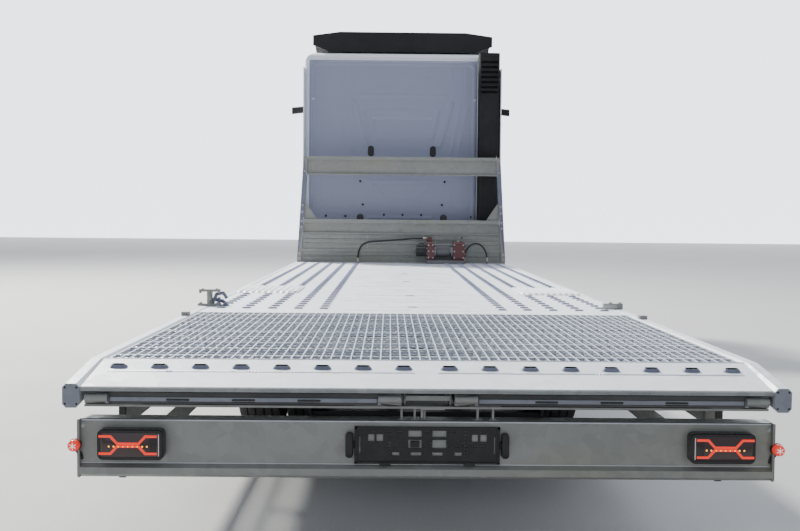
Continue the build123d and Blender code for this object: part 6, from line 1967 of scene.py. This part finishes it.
def seamsOf(mid, reach, axis, across):
    # two lengthwise seams and some cross seams between them, each as a distance from a point
    far = 9.0
    seams = [lambda p: abs(abs(p.x - mid) - reach)]
    for line in across:
        seams.append(lambda p, line=line: abs(p[axis] - line) + (0 if abs(p.x - mid) < reach else far))
    return seams


def makeSeats():
    for side, word in ((-1, "Left"), (1, "Right")):
        mid = side * seat["x"]
        half, back = seat["half"], seat["backHalf"]
        makeCushion(
            "seatBase" + word, (mid - half, mid + half), seat["y"], seat["z"], seat["voxel"], seat["cap"],
            seamsOf(mid, 0.155, 1, (4.45, 4.6)), seat["z"][0])
        makeCushion(
            "seatBack" + word, (mid - back, mid + back), seat["backY"], seat["backZ"], seat["voxel"], 0.022,
            seamsOf(mid, 0.135, 2, (1.66, 1.84)))
        rest = seat["restHalf"]
        makeCushion("headrest" + word, (mid - rest, mid + rest), (4.19, 4.285), seat["restZ"], seat["voxel"], 0.018,
                    [lambda p: abs(p.z - 2.155)], depth=0.004)
        # frame, bellows, slide rails and belt of the seat
        bm = bmesh.new()
        for ring in range(6):
            z = seat["floor"] + 0.055 + ring * 0.03
            grow = 0.012 if ring % 2 else 0.0
            outline = roundedBox(0.32 + 2 * grow, 0.33 + 2 * grow, 0.05)
            small = roundedBox(0.31, 0.32, 0.05)
            addLoft(bm, [[(mid + px, 4.525 + py, z + up) for px, py in shape]
                         for up, shape in ((0.0, small), (0.015, outline), (0.03, small))], caps=False, paint=1)
        for x in (mid - 0.15, mid + 0.15):
            addBlock(bm, (x - 0.018, x + 0.018), (4.36, 4.69), (seat["floor"], seat["floor"] + 0.045))
        addBlock(bm, (mid - 0.21, mid + 0.21), (4.33, 4.76), (1.404, 1.434), paint=1)
        addBlock(bm, (mid - 0.2, mid + 0.2), (4.184, 4.196), (1.47, 2.02), paint=1)
        for x in (mid - 0.06, mid + 0.06):
            addRod(bm, (x, 4.238, 2.03), (x, 4.238, 2.09), 0.006, 12, paint=2)
        belt = side * (seat["half"] - 0.02)
        addRod(bm, (mid + belt, 4.4, 1.4), (mid + belt, 4.4, 1.57), 0.012, 12, paint=1)
        makePiece("seatFrame" + word, bm, "cab", [framePaint, grainedBlack, chromeTrim], 0.0015)


def makeBunk():
    # base with lids, and the mattress with its cross seams
    bm = bmesh.new()
    addBlock(bm, bunk["x"], (bunk["y"][0], bunk["y"][1] - 0.012), bunk["base"])
    foot, rise = bunk["lidZ"]
    for low, high in bunk["lids"]:
        outline = cornered([(low, foot), (high, foot), (high, rise), (low, rise)], 0.03)
        addPrism(bm, outline, bunk["y"][1] - 0.013, bunk["y"][1] - 0.003, "Y")
        middle, y = (low + high) / 2, bunk["y"][1]
        addRod(bm, (middle - 0.05, y, 1.53), (middle + 0.05, y, 1.53), 0.006, 12, paint=1)
    makePiece("bunkBase", bm, "cab", [cabTrim, grainedBlack], 0.002)
    seams = [lambda p, reach=reach: abs(abs(p.x) - reach) for reach in bunk["seams"]]
    mattress = makeCushion("bunkMattress", bunk["x"], bunk["y"], bunk["z"], bunk["voxel"], 0.016, seams,
                           bunk["z"][0], 0.006, 0.014)
    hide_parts("seats")


makeSeats()
makeBunk()
print("seats and bunk")

dash = {"wheel": (-0.61, 4.96, 1.7), "rim": 0.2125, "tube": 0.0165, "dials": (-0.72, -0.5),
        "screens": ((-0.2, 0.12, 1.715), (0.2, 0.44, 1.712)), "vents": (-1.0, -0.28, 0.52, 0.96), "slats": 5,
        "keys": 9, "keyX": -0.18, "keyPitch": 0.036, "pedals": ((-0.78, 1.27), (-0.6, 1.26), (-0.44, 1.25))}


def makeWheelGrip():
    # padded rim with thicker grips, spokes and hub of the steering wheel
    tilt = Vector((0, -0.5, 0.85)).normalized()
    across, up = Vector((1, 0, 0)), tilt.cross(Vector((1, 0, 0)))
    centre = Vector(dash["wheel"]) + tilt * 0.0125
    bm = bmesh.new()
    rings = []
    for step in range(65):
        angle = tau * step / 64
        way = across * cos(angle) + up * sin(angle)
        thick = dash["tube"] * (1.1 if abs(sin(angle * 2)) < 0.35 else 1.0)
        rings.append([centre + way * (dash["rim"] + thick * cos(part)) + tilt * thick * sin(part)
                      for part in (tau * index / 12 for index in range(12))])
    addLoft(bm, rings, caps=False)
    for angle in (0, pi, -pi / 2):
        way = across * cos(angle) + up * sin(angle)
        addRod(bm, centre + way * 0.05 + tilt * 0.004, centre + way * 0.198 + tilt * 0.004, 0.014, 10, 0.01)
    for size, low, high in ((0.062, -0.01, 0.02), (0.05, 0.02, 0.028)):
        addRod(bm, centre + tilt * low, centre + tilt * high, size, 32, size * 0.94)
    makePiece("wheelGrip", bm, "cab", grainedBlack, 0.001)


def makeDashTrim():
    # dials with their needles, screens, vents, switches and pedals
    bm = bmesh.new()
    for x in dash["dials"]:
        place = Vector((x, 5.115, 1.727))
        way = Vector((0, -0.62, 0.78)).normalized()
        addRod(bm, place - way * 0.01, place + way * 0.012, 0.075, 36, 0.072)
        addRod(bm, place + way * 0.012, place + way * 0.0135, 0.062, 36, 0.062, paint=1)
        addRod(bm, place + way * 0.014, place + way * 0.014 + Vector((0.03, 0.018, 0.015)), 0.0018, 6, paint=2)
    for low, high, z in dash["screens"]:
        outline = [(5.082, z - 0.055), (5.072, z - 0.05), (5.1, z + 0.045), (5.112, z + 0.042)]
        addPrism(bm, outline, low, high, "X", paint=1)
    for vent in dash["vents"]:
        for slat in range(dash["slats"]):
            z = 1.585 + slat * 0.016
            addBlock(bm, (vent - 0.05, vent + 0.05), (5.06, 5.078), (z - 0.002, z + 0.002))
    for row in range(2):
        down = row * dash["keyPitch"]
        for key in range(dash["keys"]):
            x = dash["keyX"] + key * dash["keyPitch"]
            addBlock(bm, (x - 0.014, x + 0.014), (5.074, 5.084), (1.575 - down, 1.6 - down))
    for x, z in dash["pedals"]:
        addRod(bm, (x, 5.17, z + 0.1), (x, 5.06, z), 0.008, 10, paint=3)
        addPrism(bm, shifted(roundedBox(0.075, 0.09, 0.012), x, z), 5.048, 5.06, "Y")
    makePiece("dashDetails", bm, "cab", [grainedBlack, lampBlack, lampGlow, boltSteel], 0.001)


makeWheelGrip()
makeDashTrim()
print("dashboard")

# slots along the middle of the bed, the faint roll lines and the second hook of the left clamp
middleSlots = {"rows": (-3.076, -2.191, -0.69, 0.497), "size": (0.052, 0.018), "rise": 0.004, "half": 0.475,
               "rollStart": -3.3, "rollEnd": 2.7, "rolls": 34, "rollWide": 0.0022, "rollRise": 0.0009}


def makeMiddleSlots():
    bm = bmesh.new()
    width, height = middleSlots["size"]
    for y in middleSlots["rows"]:
        # outer wall in the dark bluish zinc and inner wall black: painted shade
        walls = (((0.022, 0.0003), (0.004, middleSlots["rise"])), ((0.004, middleSlots["rise"]), (0.0, 0.0006)))
        for paint, wall in enumerate(walls):
            addLayers(bm, "Z", [(deck["top"] + up, shifted(slotOutline(width + grow, height + grow), 0, y))
                                for grow, up in wall], bool(paint), paint)
    makePiece("middleSlots", bm, "chassis", [zincLipPaintedShade, lampBlack])
    bm = bmesh.new()
    for index in range(middleSlots["rolls"]):
        share = (index + 0.35 * sin(index * 2.4)) / middleSlots["rolls"]
        y = middleSlots["rollStart"] + (middleSlots["rollEnd"] - middleSlots["rollStart"]) * share
        reach = middleSlots["half"] * (0.72 + 0.28 * cos(index * 1.7))
        shift = 0.1 * sin(index * 0.9)
        addBlock(bm, (shift - reach * 0.85, shift + reach * 0.85), (y, y + middleSlots["rollWide"]),
                 (deck["top"], deck["top"] + middleSlots["rollRise"]))
    makePiece("rollLines", bm, "chassis", zincRail)


def makeClampHook():
    # the second hooked part of the left clamp, simplified: two bent bars on a pin
    bm = bmesh.new()
    for line, radius in clamp["bars"]:
        addTube(bm, line, radius, 12)
    addRod(bm, (-1.125, -3.085, 1.013), (-1.125, -3.02, 1.013), 0.012, 16)
    addRod(bm, (-1.165, -3.062, 1.0005), (-1.165, -3.062, 1.052), 0.009, 16)
    makePiece("clampHook", bm, "chassis", zincPostPaintedShade)


makeMiddleSlots()
makeClampHook()
print("middle of the bed")

# floor and light
studio = {"floor": 60.0, "floorColour": (0.42, 0.42, 0.42), "sky": (0.78, 0.84, 0.94), "skyStrength": 0.62,
          "backdrop": (58.0, 60.0, 50.0), "backdropGlow": 2.6,
          "lights": (  # name, place, aim, size, watts, colour
              ("sunPanel", (-12, 12, 17), (0, -1, 1), 3.0, 15500, (1.0, 0.97, 0.91)),
              ("skyPanel", (2, 2, 17), (0, 0, 1), 14.0, 900, (0.86, 0.92, 1.0)),
              ("rearFill", (-3, -17, 5), (0, -3, 1.4), 9.0, 60, (0.95, 0.97, 1.0)))}


def makeStudio():
    bm = bmesh.new()
    size = studio["floor"]
    addFaces(bm, [(-size, -size, 0), (size, -size, 0), (size, size, 0), (-size, size, 0)], [(0, 1, 2, 3)])
    floor = putInScene("paleFloor", meshFrom("paleFloor", bm))
    floor.data.materials.append(surface("paleFloor", studio["floorColour"], (0.38, 0.38, 0.38), (0.6, 0.8), 0.0, 0.6,
                                        60.0, 0.05, dirtShare=0.3))
    # a pale glowing backdrop far in front of the lorry
    away, wide, high = studio["backdrop"]
    bm = bmesh.new()
    addFaces(bm, [(-wide, away, -0.5), (wide, away, -0.5), (wide, away, high), (-wide, away, high)], [(0, 1, 2, 3)])
    backdrop = putInScene("paleBackdrop", meshFrom("paleBackdrop", bm))
    backdrop.data.materials.append(glowing("paleBackdrop", (0.93, 0.96, 1.0), studio["backdropGlow"]))
    world = bpy.data.worlds.new("paleSky")
    bpy.context.scene.world = world
    world.use_nodes = True
    background = world.node_tree.nodes["Background"]
    background.inputs["Color"].default_value = (*studio["sky"], 1)
    background.inputs["Strength"].default_value = studio["skyStrength"]
    for name, place, aim, size, watts, colour in studio["lights"]:
        lamp = bpy.data.lights.new(name, "AREA")
        lamp.shape = "DISK"
        lamp.size = size
        lamp.energy = watts
        lamp.color = colour
        stand = putInScene(name, lamp)
        stand.location = place
        stand.rotation_euler = (Vector(aim) - Vector(place)).to_track_quat("-Z", "Y").to_euler()


makeStudio()
print("studio")
